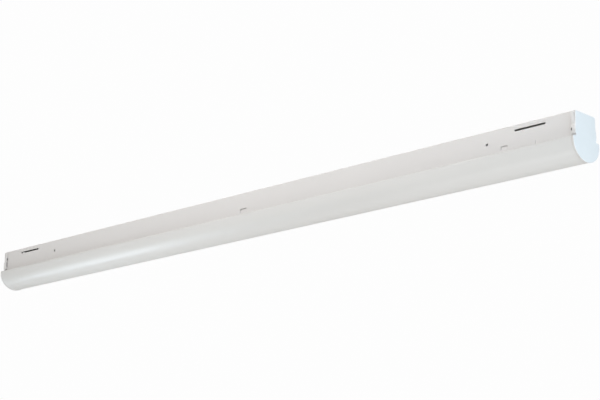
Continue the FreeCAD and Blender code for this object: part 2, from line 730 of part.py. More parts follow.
def driver_lid():
    """Upper shell of the driver: a plate whose long edges are folded down over the base."""
    outer = DRIVER_WIDTH / 2 + DRIVER_LID_PLAY + SHEET
    top = DRIVER_FLOOR + DRIVER_HEIGHT
    skirt = top - DRIVER_LID_LAP
    path = [(-outer, skirt), (-outer, top), (outer, top), (outer, skirt)]
    return folded_sheet(path, SHEET, DRIVER_LID_BEND, DRIVER_START, DRIVER_END)


def driver_potting():
    """Potted circuit that fills the driver, clear of the lead bushings."""
    half = DRIVER_WIDTH / 2 - SHEET - HOLE_PLAY
    return box(DRIVER_START + POTTING_INSET, DRIVER_END - POTTING_INSET, -half, half,
               DRIVER_FLOOR + SHEET, DRIVER_FLOOR + DRIVER_HEIGHT - 2.5 * SHEET)


def driver_bushings():
    """Plastic bushings in the ends of the driver, with a hole for each lead."""
    bushings = []
    for x, away, width, lead_ys in ((DRIVER_START, -1, OUTPUT_WINDOW, OUTPUT_END_Y),
                                    (DRIVER_END, 1, INPUT_WINDOW, INPUT_END_Y)):
        reach = width / 2
        rise = LEAD_WINDOW_HEIGHT / 2
        neck = box(x - away * BUSHING_NECK, x, -reach + HOLE_PLAY, reach - HOLE_PLAY,
                   LEAD_EXIT_Z - rise + HOLE_PLAY, LEAD_EXIT_Z + rise - HOLE_PLAY)
        flange = box(x, x + away * BUSHING_FLANGE, -reach - BUSHING_LIP, reach + BUSHING_LIP,
                     LEAD_EXIT_Z - rise - BUSHING_LIP, LEAD_EXIT_Z + rise + BUSHING_LIP)
        through = vec(BUSHING_NECK + BUSHING_FLANGE, 0, 0)
        entries = [vec(x, y, LEAD_EXIT_Z) for y in lead_ys]
        bores = [lead_hole(entry - through, entry + through) for entry in entries]
        bushings.append(flange.fuse(neck).cut(bores))
    return Part.makeCompound(bushings)


def driver_screws():
    """Two screws down through the feet of the driver into the tray."""
    screws = []
    for place in driver_screw_places():
        screws.append(pan_head_screw(place, TRAY_TOP + SHEET, TRAY_FLOOR - DRIVER_SCREW_TIP,
                                     DRIVER_SCREW_R, DRIVER_SCREW_HEAD_R, DRIVER_SCREW_HEAD))
    return Part.makeCompound(screws)


def lead_hole(start, end, lead_r=LEAD_R):
    """Cutter for a hole that a lead passes through, with a little play."""
    return faceted_rod(start, end, lead_r + HOLE_PLAY, LEAD_SIDES)


def lead(name, points, radius):
    """Insulated lead: a six-sided tube along straight runs joined by wide tangent arcs."""
    corners = [vec(*point) for point in points]
    radii = []
    for before, corner, after in zip(corners, corners[1:], corners[2:]):
        half_turn = (corner - before).getAngle(after - corner) / 2
        shorter = min((corner - before).Length, (after - corner).Length)
        radii.append(0.45 * shorter / math.tan(half_turn))
    path = Part.Wire(tangent_path(corners, radii))
    along = unit(corners[1] - corners[0])
    section = faceted_rod(corners[0], corners[0] + along, radius, LEAD_SIDES)
    start_face = min(section.Faces, key=lambda face: (face.CenterOfMass - corners[0]).Length)
    tube = path.makePipeShell([start_face.OuterWire], True, False)
    expected = start_face.Area * path.Length
    print(f"{name}: length {path.Length:.1f} mm, least bend {min(radii):.1f} mm, "
          f"volume {tube.Volume / expected:.4f} of section times length")
    return tube


OUTPUT_END_Y = (5.4, 1.8, -1.8, -5.4)
INPUT_END_Y = (2.6, -2.6)
DRIVER_EXIT_X = DRIVER_START - 0.75 * BUSHING_FLANGE
INPUT_EXIT_X = DRIVER_END + 0.75 * BUSHING_FLANGE
DIMMING_CLIP_X = -60.0
DIMMING_CLIP_Y = -9.9
DIMMING_CLIP_SPAN = 3.2
CLIP_LEAD_Z = TRAY_TOP + CLIP_BASE + LEAD_R + CLIP_PLAY
FLOOR_LEAD_Z = TRAY_TOP + 1.25 * SLEEVE_R
CROWN_Z = LEAD_EXIT_Z - 1.0
DESCENT_Z = LEAD_EXIT_Z - 4.5
CONNECTOR_IN = CONNECTOR_FACE_X + 4.0

LEAD_ROUTES = {
    "output_lead_red": [
        (DRIVER_EXIT_X, OUTPUT_END_Y[0], LEAD_EXIT_Z),
        (32, OUTPUT_END_Y[0], LEAD_EXIT_Z),
        (0, 1.3, CROWN_Z),
        (0, 1.3, CONNECTOR_WIRE_Z - 1),
        (20, CONNECTOR_Y + CONNECTOR_WIRE_PITCH / 2, CONNECTOR_WIRE_Z),
        (CONNECTOR_IN, CONNECTOR_Y + CONNECTOR_WIRE_PITCH / 2, CONNECTOR_WIRE_Z - 0.01),
    ],
    "output_lead_blue": [
        (DRIVER_EXIT_X, OUTPUT_END_Y[1], LEAD_EXIT_Z),
        (32, OUTPUT_END_Y[1] - 0.2, LEAD_EXIT_Z),
        (0, -1.3, CROWN_Z),
        (0, -1.3, CONNECTOR_WIRE_Z - 1),
        (20, CONNECTOR_Y - CONNECTOR_WIRE_PITCH / 2, CONNECTOR_WIRE_Z),
        (CONNECTOR_IN, CONNECTOR_Y - CONNECTOR_WIRE_PITCH / 2, CONNECTOR_WIRE_Z - 0.01),
    ],
    "dimming_lead_violet": [
        (DRIVER_EXIT_X, OUTPUT_END_Y[2], LEAD_EXIT_Z),
        (34, -3.4, LEAD_EXIT_Z - 0.4),
        (4, -8.6, DESCENT_Z),
        (-28, -9.4, CLIP_LEAD_Z),
        (DIMMING_CLIP_X, -8.6, CLIP_LEAD_Z),
        (-96, -9.8, FLOOR_LEAD_Z),
        (-134, -7.4, FLOOR_LEAD_Z),
    ],
    "dimming_lead_pink": [
        (DRIVER_EXIT_X, OUTPUT_END_Y[3], LEAD_EXIT_Z),
        (36, -7.2, LEAD_EXIT_Z - 0.4),
        (6, -11.6, DESCENT_Z),
        (-28, -11.6, CLIP_LEAD_Z),
        (DIMMING_CLIP_X, -10.8, CLIP_LEAD_Z),
        (-94, -13.0, FLOOR_LEAD_Z),
        (-122, -11.6, FLOOR_LEAD_Z),
    ],
    "input_lead_black": [
        (INPUT_EXIT_X, INPUT_END_Y[0], LEAD_EXIT_Z),
        (364, 3.2, LEAD_EXIT_Z + 0.8),
        (390, 2.2, PLUG_WIRE_Z + 0.4),
        (PLUG_START + 4, 2.6, PLUG_WIRE_Z),
    ],
    "input_lead_white": [
        (INPUT_EXIT_X, INPUT_END_Y[1], LEAD_EXIT_Z),
        (366, -3.4, LEAD_EXIT_Z + 1.6),
        (391, -2.2, PLUG_WIRE_Z + 0.4),
        (PLUG_START + 4, -2.6, PLUG_WIRE_Z),
    ],
}

JUMPER_YS = {"jumper_lead_red": -CONNECTOR_Y - CONNECTOR_WIRE_PITCH / 2,
             "jumper_lead_blue": -CONNECTOR_Y + CONNECTOR_WIRE_PITCH / 2}
for jumper, jumper_y in JUMPER_YS.items():
    LEAD_ROUTES[jumper] = [
        (CONNECTOR_IN, jumper_y, CONNECTOR_WIRE_Z),
        (18, jumper_y - 0.2, CONNECTOR_WIRE_Z - 0.2),
        (0, jumper_y - 0.9, CONNECTOR_WIRE_Z - 1.2),
        (-18, jumper_y - 0.2, CONNECTOR_WIRE_Z - 0.2),
        (-CONNECTOR_IN, jumper_y, CONNECTOR_WIRE_Z),
    ]

RING_Z = -DIMPLE_DEPTH - SHEET
BARREL_Z = RING_Z - BARREL_DROP
BARREL_X = DIMPLE_X - BARREL_SETBACK
GROUND_CLIP_X = (-150.0, -214.0)
GROUND_CLIP_Y = -0.9
GROUND_CLIP_SPAN = 1.2
GROUND_CLIP_Z = -SHEET - CLIP_BASE - GROUND_LEAD_R - CLIP_PLAY
GROUND_ROUTE = [
    (BARREL_X - 0.6 * BARREL_LENGTH, 0, BARREL_Z),
    (-112, 0.6, RING_Z - 1.2),
    (GROUND_CLIP_X[0], -1.4, GROUND_CLIP_Z),
    (-182, 0.8, GROUND_CLIP_Z - 0.6),
    (GROUND_CLIP_X[1], -1.4, GROUND_CLIP_Z),
    (-240, 0.4, GROUND_CLIP_Z - 0.8),
]


def lead_end_sleeves():
    """Insulating sleeves on the unused ends of the dimming leads, lying on the tray floor."""
    sleeves = []
    for name in ("dimming_lead_violet", "dimming_lead_pink"):
        before, end = [vec(*point) for point in LEAD_ROUTES[name][-2:]]
        along = unit(end - before)
        mouth = end - along * SLEEVE_OVERLAP
        outside = faceted_rod(mouth, mouth + along * SLEEVE_LENGTH, SLEEVE_R, LEAD_SIDES)
        sleeves.append(outside.cut(lead_hole(mouth - along, end + along * HOLE_PLAY)))
    return Part.makeCompound(sleeves)


def tray_grommet():
    """Grooved rubber grommet round the leads where they pass through the tray floor."""
    def ring(low, high, radius):
        return faceted_rod(vec(0, 0, low), vec(0, 0, high), radius, GROMMET_SIDES)

    under = ring(TRAY_FLOOR - GROMMET_LIP, TRAY_FLOOR, GROMMET_FLANGE_R)
    neck = ring(TRAY_FLOOR, TRAY_TOP, GROMMET_HOLE_R)
    over = ring(TRAY_TOP, TRAY_TOP + GROMMET_LIP, GROMMET_FLANGE_R)
    bore = ring(TRAY_FLOOR - 2 * GROMMET_LIP, TRAY_TOP + 2 * GROMMET_LIP, GROMMET_BORE_R)
    return neck.fuse([under, over]).cut(bore)


def saddle_clip(x, y, lead_r, span):
    """Clip that stands on z = 0 at x: a pad with an arched strap over leads side by side."""
    half = span / 2 + lead_r + CLIP_PLAY
    rise = CLIP_BASE + 2 * lead_r + 3 * CLIP_PLAY
    outer = half + CLIP_WALL
    pad = box(x - CLIP_LENGTH / 2, x + CLIP_LENGTH / 2,
              y - outer - CLIP_PAD_REACH, y + outer + CLIP_PAD_REACH, 0, CLIP_BASE)
    strap = box(x - CLIP_LENGTH / 4, x + CLIP_LENGTH / 4, y - outer, y + outer, 0, rise + CLIP_WALL)
    crown = [edge for edge in strap.Edges
             if abs(edge.CenterOfMass.z - rise - CLIP_WALL) < 0.01
             and abs(abs(edge.CenterOfMass.y - y) - outer) < 0.01]
    strap = strap.makeFillet(CLIP_CROWN_R, crown)
    strap = strap.cut(box(x - CLIP_LENGTH, x + CLIP_LENGTH, y - half, y + half, CLIP_BASE, rise))
    return pad.fuse(strap)


def dimming_lead_clip():
    """Clip on the tray floor over the two dimming leads."""
    clip = saddle_clip(DIMMING_CLIP_X, DIMMING_CLIP_Y, LEAD_R, DIMMING_CLIP_SPAN)
    clip.translate(vec(0, 0, TRAY_TOP))
    return clip


def ground_lead_clips():
    """Clips under the top of the channel that carry the ground lead."""
    clips = []
    for x in GROUND_CLIP_X:
        clip = saddle_clip(x, -GROUND_CLIP_Y, GROUND_LEAD_R, GROUND_CLIP_SPAN)
        clip.rotate(vec(x, 0, 0), vec(1, 0, 0), 180)
        clip.translate(vec(0, 0, -SHEET))
        clips.append(clip)
    return Part.makeCompound(clips)


def ground_screw():
    """Hexagon washer-head screw up into the dimple, its tip below the ceiling face."""
    seat = vec(DIMPLE_X, 0, RING_Z - SHEET)
    under_washer = seat - vec(0, 0, SHEET)
    washer = faceted_rod(seat, under_washer, GROUND_WASHER_R, WASHER_SIDES)
    hexagon = faceted_rod(under_washer, under_washer - vec(0, 0, GROUND_HEAD), GROUND_HEAD_R, 6)
    shank = faceted_rod(seat, vec(DIMPLE_X, 0, GROUND_TIP_Z), GROUND_SCREW_R, SHANK_SIDES)
    return washer.fuse([hexagon, shank])


def ground_ring_terminal():
    """Ring terminal under the ground screw, with its crimp barrel towards the lead."""
    middle = vec(DIMPLE_X, 0, RING_Z)
    ring = faceted_rod(middle, middle - vec(0, 0, SHEET), RING_R, WASHER_SIDES)
    neck = box(BARREL_X - 1, DIMPLE_X - RING_R / 2, -BARREL_R, BARREL_R, RING_Z - SHEET, RING_Z)
    mouth = vec(BARREL_X - BARREL_LENGTH, 0, BARREL_Z)
    barrel = faceted_rod(vec(BARREL_X, 0, BARREL_Z), mouth, BARREL_R, SHANK_SIDES)
    bore = lead_hole(mouth + vec(BARREL_LENGTH / 2, 0, 0), mouth - vec(1, 0, 0), GROUND_LEAD_R)
    hole = faceted_rod(middle + vec(0, 0, 1), middle - vec(0, 0, SHEET + 1), GROUND_HOLE_R, SHANK_SIDES)
    return ring.fuse([neck, barrel]).cut([bore, hole])


def long_edges(block):
    """Edges of a block that run along the light."""
    return [edge for edge in block.Edges if abs(edge.Vertexes[0].X - edge.Vertexes[1].X) > 1]


def disconnect_plug():
    """Driver half of the disconnect: a body with two lead entries and a keyed nose."""
    half = PLUG_WIDTH / 2
    body = box(PLUG_START, PLUG_START + PLUG_LENGTH, -half, half, TRAY_TOP, TRAY_TOP + PLUG_HEIGHT)
    body = body.makeFillet(PLUG_EDGE_R, [edge for edge in long_edges(body)
                                         if edge.CenterOfMass.z > PLUG_WIRE_Z])
    for index in range(GRIP_COUNT):
        x = PLUG_START + GRIP_PITCH * (index + 2)
        for side in (-1, 1):
            body = body.cut(box(x, x + GRIP_PITCH / 2, side * (half - GRIP_DEPTH), side * (half + 1),
                                TRAY_TOP + GRIP_PITCH, TRAY_TOP + PLUG_HEIGHT - GRIP_PITCH))
    nose_start = PLUG_START + PLUG_LENGTH
    nose = box(nose_start, nose_start + NOSE_LENGTH, -half + NOSE_INSET_Y, half - NOSE_INSET_Y,
               TRAY_TOP + NOSE_INSET_Z, TRAY_TOP + PLUG_HEIGHT - NOSE_INSET_Z)
    entries = [vec(PLUG_START, y, PLUG_WIRE_Z) for y in INPUT_END_Y]
    bores = [lead_hole(entry - vec(1, 0, 0), entry + vec(CONNECTOR_BORE, 0, 0)) for entry in entries]
    return body.fuse(nose).cut(bores)


def disconnect_socket():
    """Supply half of the disconnect, with the nose recess and two push-in holes for house wires."""
    start = PLUG_START + PLUG_LENGTH + SOCKET_GAP
    end = start + PLUG_LENGTH
    half = PLUG_WIDTH / 2
    high = TRAY_TOP + PLUG_HEIGHT
    body = box(start, end, -half, half, TRAY_TOP + SOCKET_GAP, high)
    body = body.makeFillet(PLUG_EDGE_R, long_edges(body))
    wall = NOSE_INSET_Y - NOSE_PLAY
    floor = NOSE_INSET_Z - NOSE_PLAY
    recess = box(start - 1, start + NOSE_LENGTH + NOSE_PLAY, -half + wall, half - wall,
                 TRAY_TOP + floor, high - floor)
    mouths = [vec(end, y, PLUG_WIRE_Z) for y in INPUT_END_Y]
    bores = [faceted_rod(mouth - vec(HOUSE_WIRE_DEPTH, 0, 0), mouth + vec(1, 0, 0),
                         HOUSE_WIRE_R, SHANK_SIDES) for mouth in mouths]
    return body.cut([recess] + bores)


def all_parts():
    """Every node of the light by its name."""
    right_cap = end_cap()
    right_board = led_board()
    right_leds = led_packages()
    parts = {
        "channel_housing": channel_housing(),
        "end_cap_right": right_cap,
        "end_cap_left": turned_round(right_cap),
        "lens_diffuser": lens_diffuser(),
        "gear_tray": gear_tray(),
        "led_board_right": right_board,
        "led_board_left": mirrored_x(right_board),
        "led_packages_right": right_leds,
        "led_packages_left": mirrored_x(right_leds),
        "board_connectors": board_connectors(),
        "board_screws": board_screws(),
        "driver_base": driver_base(),
        "driver_lid": driver_lid(),
        "driver_potting": driver_potting(),
        "driver_bushings": driver_bushings(),
        "driver_screws": driver_screws(),
        "lead_end_sleeves": lead_end_sleeves(),
        "tray_grommet": tray_grommet(),
        "dimming_lead_clip": dimming_lead_clip(),
        "disconnect_plug": disconnect_plug(),
        "disconnect_socket": disconnect_socket(),
        "ground_screw": ground_screw(),
        "ground_ring_terminal": ground_ring_terminal(),
        "ground_lead_clips": ground_lead_clips(),
        "ground_lead": lead("ground_lead", GROUND_ROUTE, GROUND_LEAD_R),
    }
    for name, route in LEAD_ROUTES.items():
        parts[name] = lead(name, route, LEAD_R)
    return parts


os.makedirs("parts", exist_ok=True)
for node, shape in all_parts().items():
    shape.exportStep(f"parts/{node}.step")
    box_of = shape.BoundBox
    print(f"{node}: {len(shape.Solids)} solids, valid {shape.isValid()}, volume {shape.Volume:.0f}, "
          f"x {box_of.XMin:.1f}..{box_of.XMax:.1f}, y {box_of.YMin:.1f}..{box_of.YMax:.1f}, "
          f"z {box_of.ZMin:.1f}..{box_of.ZMax:.1f}")
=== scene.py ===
import logging
import math
from dataclasses import dataclass, field
from enum import Enum
from functools import cache
from typing import Callable, NamedTuple, Sequence

import bmesh
import bpy
from mathutils import Matrix, Vector


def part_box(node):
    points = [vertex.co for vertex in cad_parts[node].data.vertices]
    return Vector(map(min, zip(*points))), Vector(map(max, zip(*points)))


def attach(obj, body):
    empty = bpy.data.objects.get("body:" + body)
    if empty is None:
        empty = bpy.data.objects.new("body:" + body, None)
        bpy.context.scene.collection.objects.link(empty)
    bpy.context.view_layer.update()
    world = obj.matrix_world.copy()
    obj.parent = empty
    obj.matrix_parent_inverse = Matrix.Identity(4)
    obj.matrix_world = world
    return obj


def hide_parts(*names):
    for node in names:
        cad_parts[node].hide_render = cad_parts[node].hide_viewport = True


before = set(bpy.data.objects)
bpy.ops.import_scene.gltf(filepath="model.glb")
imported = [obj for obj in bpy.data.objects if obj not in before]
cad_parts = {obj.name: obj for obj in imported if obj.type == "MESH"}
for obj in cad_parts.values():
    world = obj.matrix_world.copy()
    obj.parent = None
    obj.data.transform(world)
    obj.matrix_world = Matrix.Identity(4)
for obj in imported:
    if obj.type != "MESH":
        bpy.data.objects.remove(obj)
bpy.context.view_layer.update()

# Metres. Points within SAME are one point, and an edge or face within NEAR of a level lies at it.
MM = 0.001
NEAR = 0.01 * MM
SAME = 0.001 * MM
FLAT_ANGLE = math.radians(0.5)
CLIP_EDGE = 0.2 * MM
Colour = tuple[float, float, float]
Point = tuple[float, float, float]
Profile = list[tuple[float, float]]
Piece = bpy.types.Object
Socket = bpy.types.NodeSocket
Tree = bpy.types.NodeTree
FaceTest = Callable[[bmesh.types.BMFace], bool]
EdgeTest = Callable[[bmesh.types.BMEdge], bool]
log = logging.getLogger("strip_light")


class Body(Enum):
    """The bodies that pieces ride on."""

    CHANNEL = "channel"
    TRAY = "tray"
    LENS = "lens"
    CAP_LEFT = "cap_left"
    CAP_RIGHT = "cap_right"
    SOCKET = "supply_socket"


class Side(Enum):
    """The two ends of the light, by the sign of X."""

    LEFT = -1
    RIGHT = 1

    @property
    def word(self) -> str:
        """The end's name as pieces use it."""
        return self.name.lower()


class Graph:
    """A shader node tree, with short ways to add nodes and to feed them."""

    def __init__(self, tree: Tree) -> None:
        """Works on one tree."""
        self.tree = tree

    def feed(self, socket: Socket, value: object) -> None:
        """Links a socket to another one, or sets its value.

        Args:
            socket: The socket.
            value: The other socket, or a number, a vector or a colour.
        """
        if isinstance(value, Socket):
            self.tree.links.new(value, socket)
        else:
            socket.default_value = (*value, 1.0) if socket.type == "RGBA" else value

    def add(self, kind: str, feeds: dict[str | int, object], **settings: object) -> bpy.types.Node:
        """Adds a node.

        Args:
            kind: The end of its type's name.
            feeds: What its inputs get, by name or number.
            settings: Its own properties.

        Returns:
            The node.
        """
        node = self.tree.nodes.new(f"ShaderNode{kind}")
        for label, value in settings.items():
            setattr(node, label, value)
        for label, value in feeds.items():
            self.feed(node.inputs[label], value)
        return node

    def math(self, operation: str, first: Socket, second: Socket | float) -> Socket:
        """Joins a value with another value or a constant."""
        return self.add("Math", {0: first, 1: second}, operation=operation).outputs[0]

    def blend(self, share: Socket, first: Socket, second: Socket | Colour) -> Socket:
        """Mixes two colours by a share."""
        return self.add("Mix", {0: share, 6: first, 7: second}, data_type="RGBA").outputs[2]

    def span(self, value: Socket, low: float, high: float, to_low: float = 0.0,
             to_high: float = 1.0) -> Socket:
        """Maps a value from one range to another."""
        limits = {"From Min": low, "From Max": high, "To Min": to_low, "To Max": to_high}
        return self.add("MapRange", {"Value": value, **limits}).outputs["Result"]


class EffectGroup(Graph):
    """A node group that takes a Vector and further inputs."""

    def __init__(self, name: str, outputs: Sequence[str], **inputs: float | Colour) -> None:
        """Makes the group with its sockets.

        Args:
            name: The group's name.
            outputs: Its outputs; Color is a colour and the others are numbers.
            inputs: Its inputs after Vector, with their defaults.
        """
        super().__init__(bpy.data.node_groups.new(name, "ShaderNodeTree"))
        kinds = {"Vector": "Vector", "Color": "Color", "Dust": "Color"}
        for way, labels in (("INPUT", ("Vector", *inputs)), ("OUTPUT", outputs)):
            for label in labels:
                kind = f"NodeSocket{kinds.get(label, 'Float')}"
                socket = self.tree.interface.new_socket(name=label, in_out=way, socket_type=kind)
                value = inputs.get(label) if way == "INPUT" else None
                if value is not None:
                    socket.default_value = (*value, 1.0) if isinstance(value, tuple) else value
        self.given = self.tree.nodes.new("NodeGroupInput").outputs
        self.result = self.tree.nodes.new("NodeGroupOutput").inputs

    def texture(self, kind: str, output: str, place: Socket | None = None, detail: float | None = None,
                roughness: float | None = None, **settings: object) -> Socket:
        """Adds a texture that reads the group's Scale.

        Args:
            kind: The end of the texture node's type name.
            output: Which output to read.
            place: Where it reads its pattern, where it isn't the group's Vector.
            detail: The detail of a noise texture.
            roughness: How rough that detail is.
            settings: The node's own properties.

        Returns:
            The output.
        """
        feeds = {"Vector": place or self.given["Vector"], "Scale": self.given["Scale"]}
        if detail is not None:
            feeds |= {"Detail": detail, "Roughness": roughness}
        return self.add(kind, feeds, **settings).outputs[output]

    def finish(self, **results: Socket) -> Tree:
        """Feeds the group's outputs.

        Args:
            results: What each output gets, by name.

        Returns:
            The group.
        """
        for label, socket in results.items():
            self.feed(self.result[label], socket)
        return self.tree


class Effects:
    """The effects that several finishes share, each made once. Scales are in cells per metre."""

    @staticmethod
    @cache
    def tone_drift() -> Tree:
        """Slow change of a colour's lightness over a surface, as in a real batch of paint.

        Returns:
            The group.
        """
        group = EffectGroup("Tone drift", ("Color",), Color=(0.8, 0.8, 0.8), Amount=0.02, Scale=6.0)
        noise = group.texture("TexNoise", "Fac", detail=3.0, roughness=0.55)
        drift = group.math("MULTIPLY", group.span(noise, 0.3, 0.7, -1.0, 1.0), group.given["Amount"])
        scaled = group.add("VectorMath", {0: group.given["Color"], "Scale": group.math("ADD", drift, 1.0)},
                           operation="SCALE")
        return group.finish(Color=scaled.outputs[0])

    @staticmethod
    @cache
    def settled_dust() -> Tree:
        """Dust that lies in patches on faces that look up.

        Returns:
            The group.
        """
        group = EffectGroup("Settled dust", ("Color", "Mask"), Color=(0.8, 0.8, 0.8),
                            Dust=(0.55, 0.53, 0.49), Amount=0.2, Scale=22.0)
        normal = group.add("NewGeometry", {}).outputs["Normal"]
        up = group.span(group.add("SeparateXYZ", {0: normal}).outputs["Z"], 0.35, 1.0)
        patches = group.span(group.texture("TexNoise", "Fac", detail=6.0, roughness=0.62), 0.42, 0.72)
        mask = group.math("MULTIPLY", group.math("MULTIPLY", up, patches), group.given["Amount"])
        return group.finish(Color=group.blend(mask, group.given["Color"], group.given["Dust"]), Mask=mask)

    @staticmethod
    @cache
    def skin() -> Tree:
        """Fine surface relief of powder coat, moulded plastic or frosting, and its gloss.

        Returns:
            The group.
        """
        group = EffectGroup("Surface skin", ("Height", "Gloss"), Scale=700.0)
        noise = group.texture("TexNoise", "Fac", detail=2.0, roughness=0.5)
        cells = group.texture("TexVoronoi", "Distance", feature="SMOOTH_F1")
        return group.finish(Height=group.math("ADD", noise, group.math("MULTIPLY", cells, 0.5)),
                            Gloss=group.span(noise, 0.3, 0.7))

    @staticmethod
    @cache
    def drawn_grain() -> Tree:
        """Long fine lines that rolling and drawing leave along sheet metal.

        Returns:
            The group.
        """
        group = EffectGroup("Drawn grain", ("Lines",), Scale=900.0)
        stretch = group.add("VectorMath", {0: group.given["Vector"], 1: (0.02, 1.0, 1.0)},
                            operation="MULTIPLY").outputs[0]
        noise = group.texture("TexNoise", "Fac", place=stretch, detail=4.0, roughness=0.6)
        return group.finish(Lines=group.span(noise, 0.3, 0.7))

    @staticmethod
    @cache
    def spangle() -> Tree:
        """Crystal patches of zinc plating.

        Returns:
            The group.
        """
        group = EffectGroup("Zinc spangle", ("Shade",), Scale=260.0)
        cells = group.texture("TexVoronoi", "Color")
        return group.finish(Shade=group.add("SeparateXYZ", {0: cells}).outputs["X"])


class Pattern(Enum):
    """A pattern from 0 to 1 over a surface: its effect and that effect's output."""

    GLOSS = (Effects.skin, "Gloss")
    HEIGHT = (Effects.skin, "Height")
    LINES = (Effects.drawn_grain, "Lines")
    CRYSTALS = (Effects.spangle, "Shade")


class Gloss(NamedTuple):
    """How the roughness varies: its pattern, its scale, and how far it goes down and up."""

    pattern: Pattern
    scale: float
    down: float
    up: float


class Relief(NamedTuple):
    """A fine relief: its pattern, its scale, its depth and how much of it shows."""

    pattern: Pattern
    scale: float
    depth: float
    strength: float


class MaterialSheet(Graph):
    """The node tree of one material."""

    def __init__(self, name: str) -> None:
        """Starts a material with its Principled shader and object coordinates.

        Args:
            name: The material's name.
        """
        self.material = bpy.data.materials.new(name)
        self.material.use_nodes = True
        super().__init__(self.material.node_tree)
        self.surface = self.tree.nodes["Principled BSDF"]
        self.place = self.add("TexCoord", {}).outputs["Object"]

    def effect(self, group: Tree, output: str, **values: Socket | float | Colour) -> Socket:
        """Places an effect, fed by object coordinates.

        Args:
            group: Its node group.
            output: Which output to read.
            values: Its other inputs by name.

        Returns:
            The output.
        """
        return self.add("Group", {"Vector": self.place, **values}, node_tree=group).outputs[output]

    def pattern(self, pattern: Pattern, scale: float) -> Socket:
        """Places a pattern at a scale."""
        make, output = pattern.value
        return self.effect(make(), output, Scale=scale)


@dataclass(frozen=True)
class Finish:
    """A finish: a colour that drifts, some dust, a gloss that varies and a fine relief."""

    name: str
    slot: str
    colour: Colour
    roughness: float
    drift: tuple[float, float] = (0.02, 30.0)
    dust: float = 0.0
    gloss: Gloss = Gloss(Pattern.GLOSS, 1600.0, 0.04, 0.06)
    relief: Relief = Relief(Pattern.HEIGHT, 1600.0, 0.015 * MM, 0.4)
    shader: tuple[tuple[str, float], ...] = ()

    def tone(self, sheet: MaterialSheet) -> Socket:
        """Places the colour over the surface.

        Args:
            sheet: The material's sheet.

        Returns:
            The colour.
        """
        amount, scale = self.drift
        tone = sheet.effect(Effects.tone_drift(), "Color", Color=self.colour, Amount=amount, Scale=scale)
        if not self.dust:
            return tone
        return sheet.effect(Effects.settled_dust(), "Color", Color=tone, Amount=self.dust)

    def height(self, sheet: MaterialSheet) -> Socket:
        """Places the height of the relief, from 0 to 1."""
        return sheet.pattern(self.relief.pattern, self.relief.scale)

    @cache
    def make(self) -> bpy.types.Material:
        """Builds the material, once.

        Returns:
            The material.
        """
        sheet = MaterialSheet(self.name)
        gloss = sheet.pattern(self.gloss.pattern, self.gloss.scale)
        low, high = self.roughness - self.gloss.down, self.roughness + self.gloss.up
        bump = sheet.add("Bump", {"Height": self.height(sheet), "Distance": self.relief.depth,
                                  "Strength": self.relief.strength})
        surface = {"Base Color": self.tone(sheet), "Roughness": sheet.span(gloss, 0.0, 1.0, low, high),
                   "Normal": bump.outputs["Normal"], **dict(self.shader)}
        for label, value in surface.items():
            sheet.feed(sheet.surface.inputs[label], value)
        return sheet.material


@dataclass(frozen=True)
class PowderCoat(Finish):
    """Baked paint on sheet steel: orange peel, slow tone drift and a little dust on top."""

    drift: tuple[float, float] = (0.012, 7.0)
    dust: float = 0.25
    gloss: Gloss = Gloss(Pattern.GLOSS, 850.0, 0.05, 0.07)
    relief: Relief = Relief(Pattern.HEIGHT, 850.0, 0.03 * MM, 0.6)


@dataclass(frozen=True)
class Moulding(Finish):
    """Moulded plastic: fine spark-eroded grain under a soft sheen."""

    dust: float = 0.12
    shader: tuple[tuple[str, float], ...] = (("IOR", 1.49),)


@dataclass(frozen=True)
class FrostedAcrylic(Finish):
    """Extruded diffusing acrylic: drawn lines along the light and a satin frosting."""

    drift: tuple[float, float] = (0.008, 4.0)
    gloss: Gloss = Gloss(Pattern.LINES, 420.0, 0.03, 0.03)
    relief: Relief = Relief(Pattern.HEIGHT, 1300.0, 0.01 * MM, 0.35)
    shader: tuple[tuple[str, float], ...] = (("IOR", 1.49),)


@dataclass(frozen=True)
class PlatedSteel(Finish):
    """Bare plated metal: zinc spangle over drawn grain."""

    drift: tuple[float, float] = (0.07, 160.0)
    dust: float = 0.15
    gloss: Gloss = Gloss(Pattern.CRYSTALS, 260.0, 0.08, 0.1)
    relief: Relief = Relief(Pattern.LINES, 1100.0, 0.01 * MM, 0.4)
    shader: tuple[tuple[str, float], ...] = (("Metallic", 1.0),)


@dataclass(frozen=True)
class Sheathing(Finish):
    """PVC lead insulation: soft gloss with faint rings from the extruder."""

    drift: tuple[float, float] = (0.05, 220.0)
    gloss: Gloss = Gloss(Pattern.GLOSS, 2200.0, 0.05, 0.08)
    relief: Relief = Relief(Pattern.HEIGHT, 2200.0, 0.02 * MM, 0.3)


@dataclass(frozen=True)
class SolderMask(Finish):
    """White board lacquer, with the copper tracks just showing under it and gaps between them."""

    drift: tuple[float, float] = (0.015, 60.0)
    gloss: Gloss = Gloss(Pattern.GLOSS, 1800.0, 0.05, 0.05)
    relief: Relief = Relief(Pattern.HEIGHT, 1800.0, 0.02 * MM, 0.5)
    track_pitch: float = 20.8571 * MM
    track_width: float = 4.2 * MM
    gap: float = 0.35 * MM
    gap_softness: float = 0.6
    gap_colour: Colour = (0.62, 0.63, 0.58)
    gap_shows: float = 0.35

    def height(self, sheet: MaterialSheet) -> Socket:
        """Places the gaps between the tracks, as 1, and the tracks, as 0.

        Args:
            sheet: The material's sheet.

        Returns:
            The height.
        """
        sizes = {"Scale": 1.0, "Mortar Size": self.gap, "Mortar Smooth": self.gap_softness,
                 "Brick Width": self.track_pitch, "Row Height": self.track_width}
        return sheet.add("TexBrick", {"Vector": sheet.place, **sizes}, offset=0.0).outputs["Fac"]

    def tone(self, sheet: MaterialSheet) -> Socket:
        """Places the lacquer's colour, a little darker over the gaps."""
        share = sheet.math("MULTIPLY", self.height(sheet), self.gap_shows)
        return sheet.blend(share, super().tone(sheet), self.gap_colour)


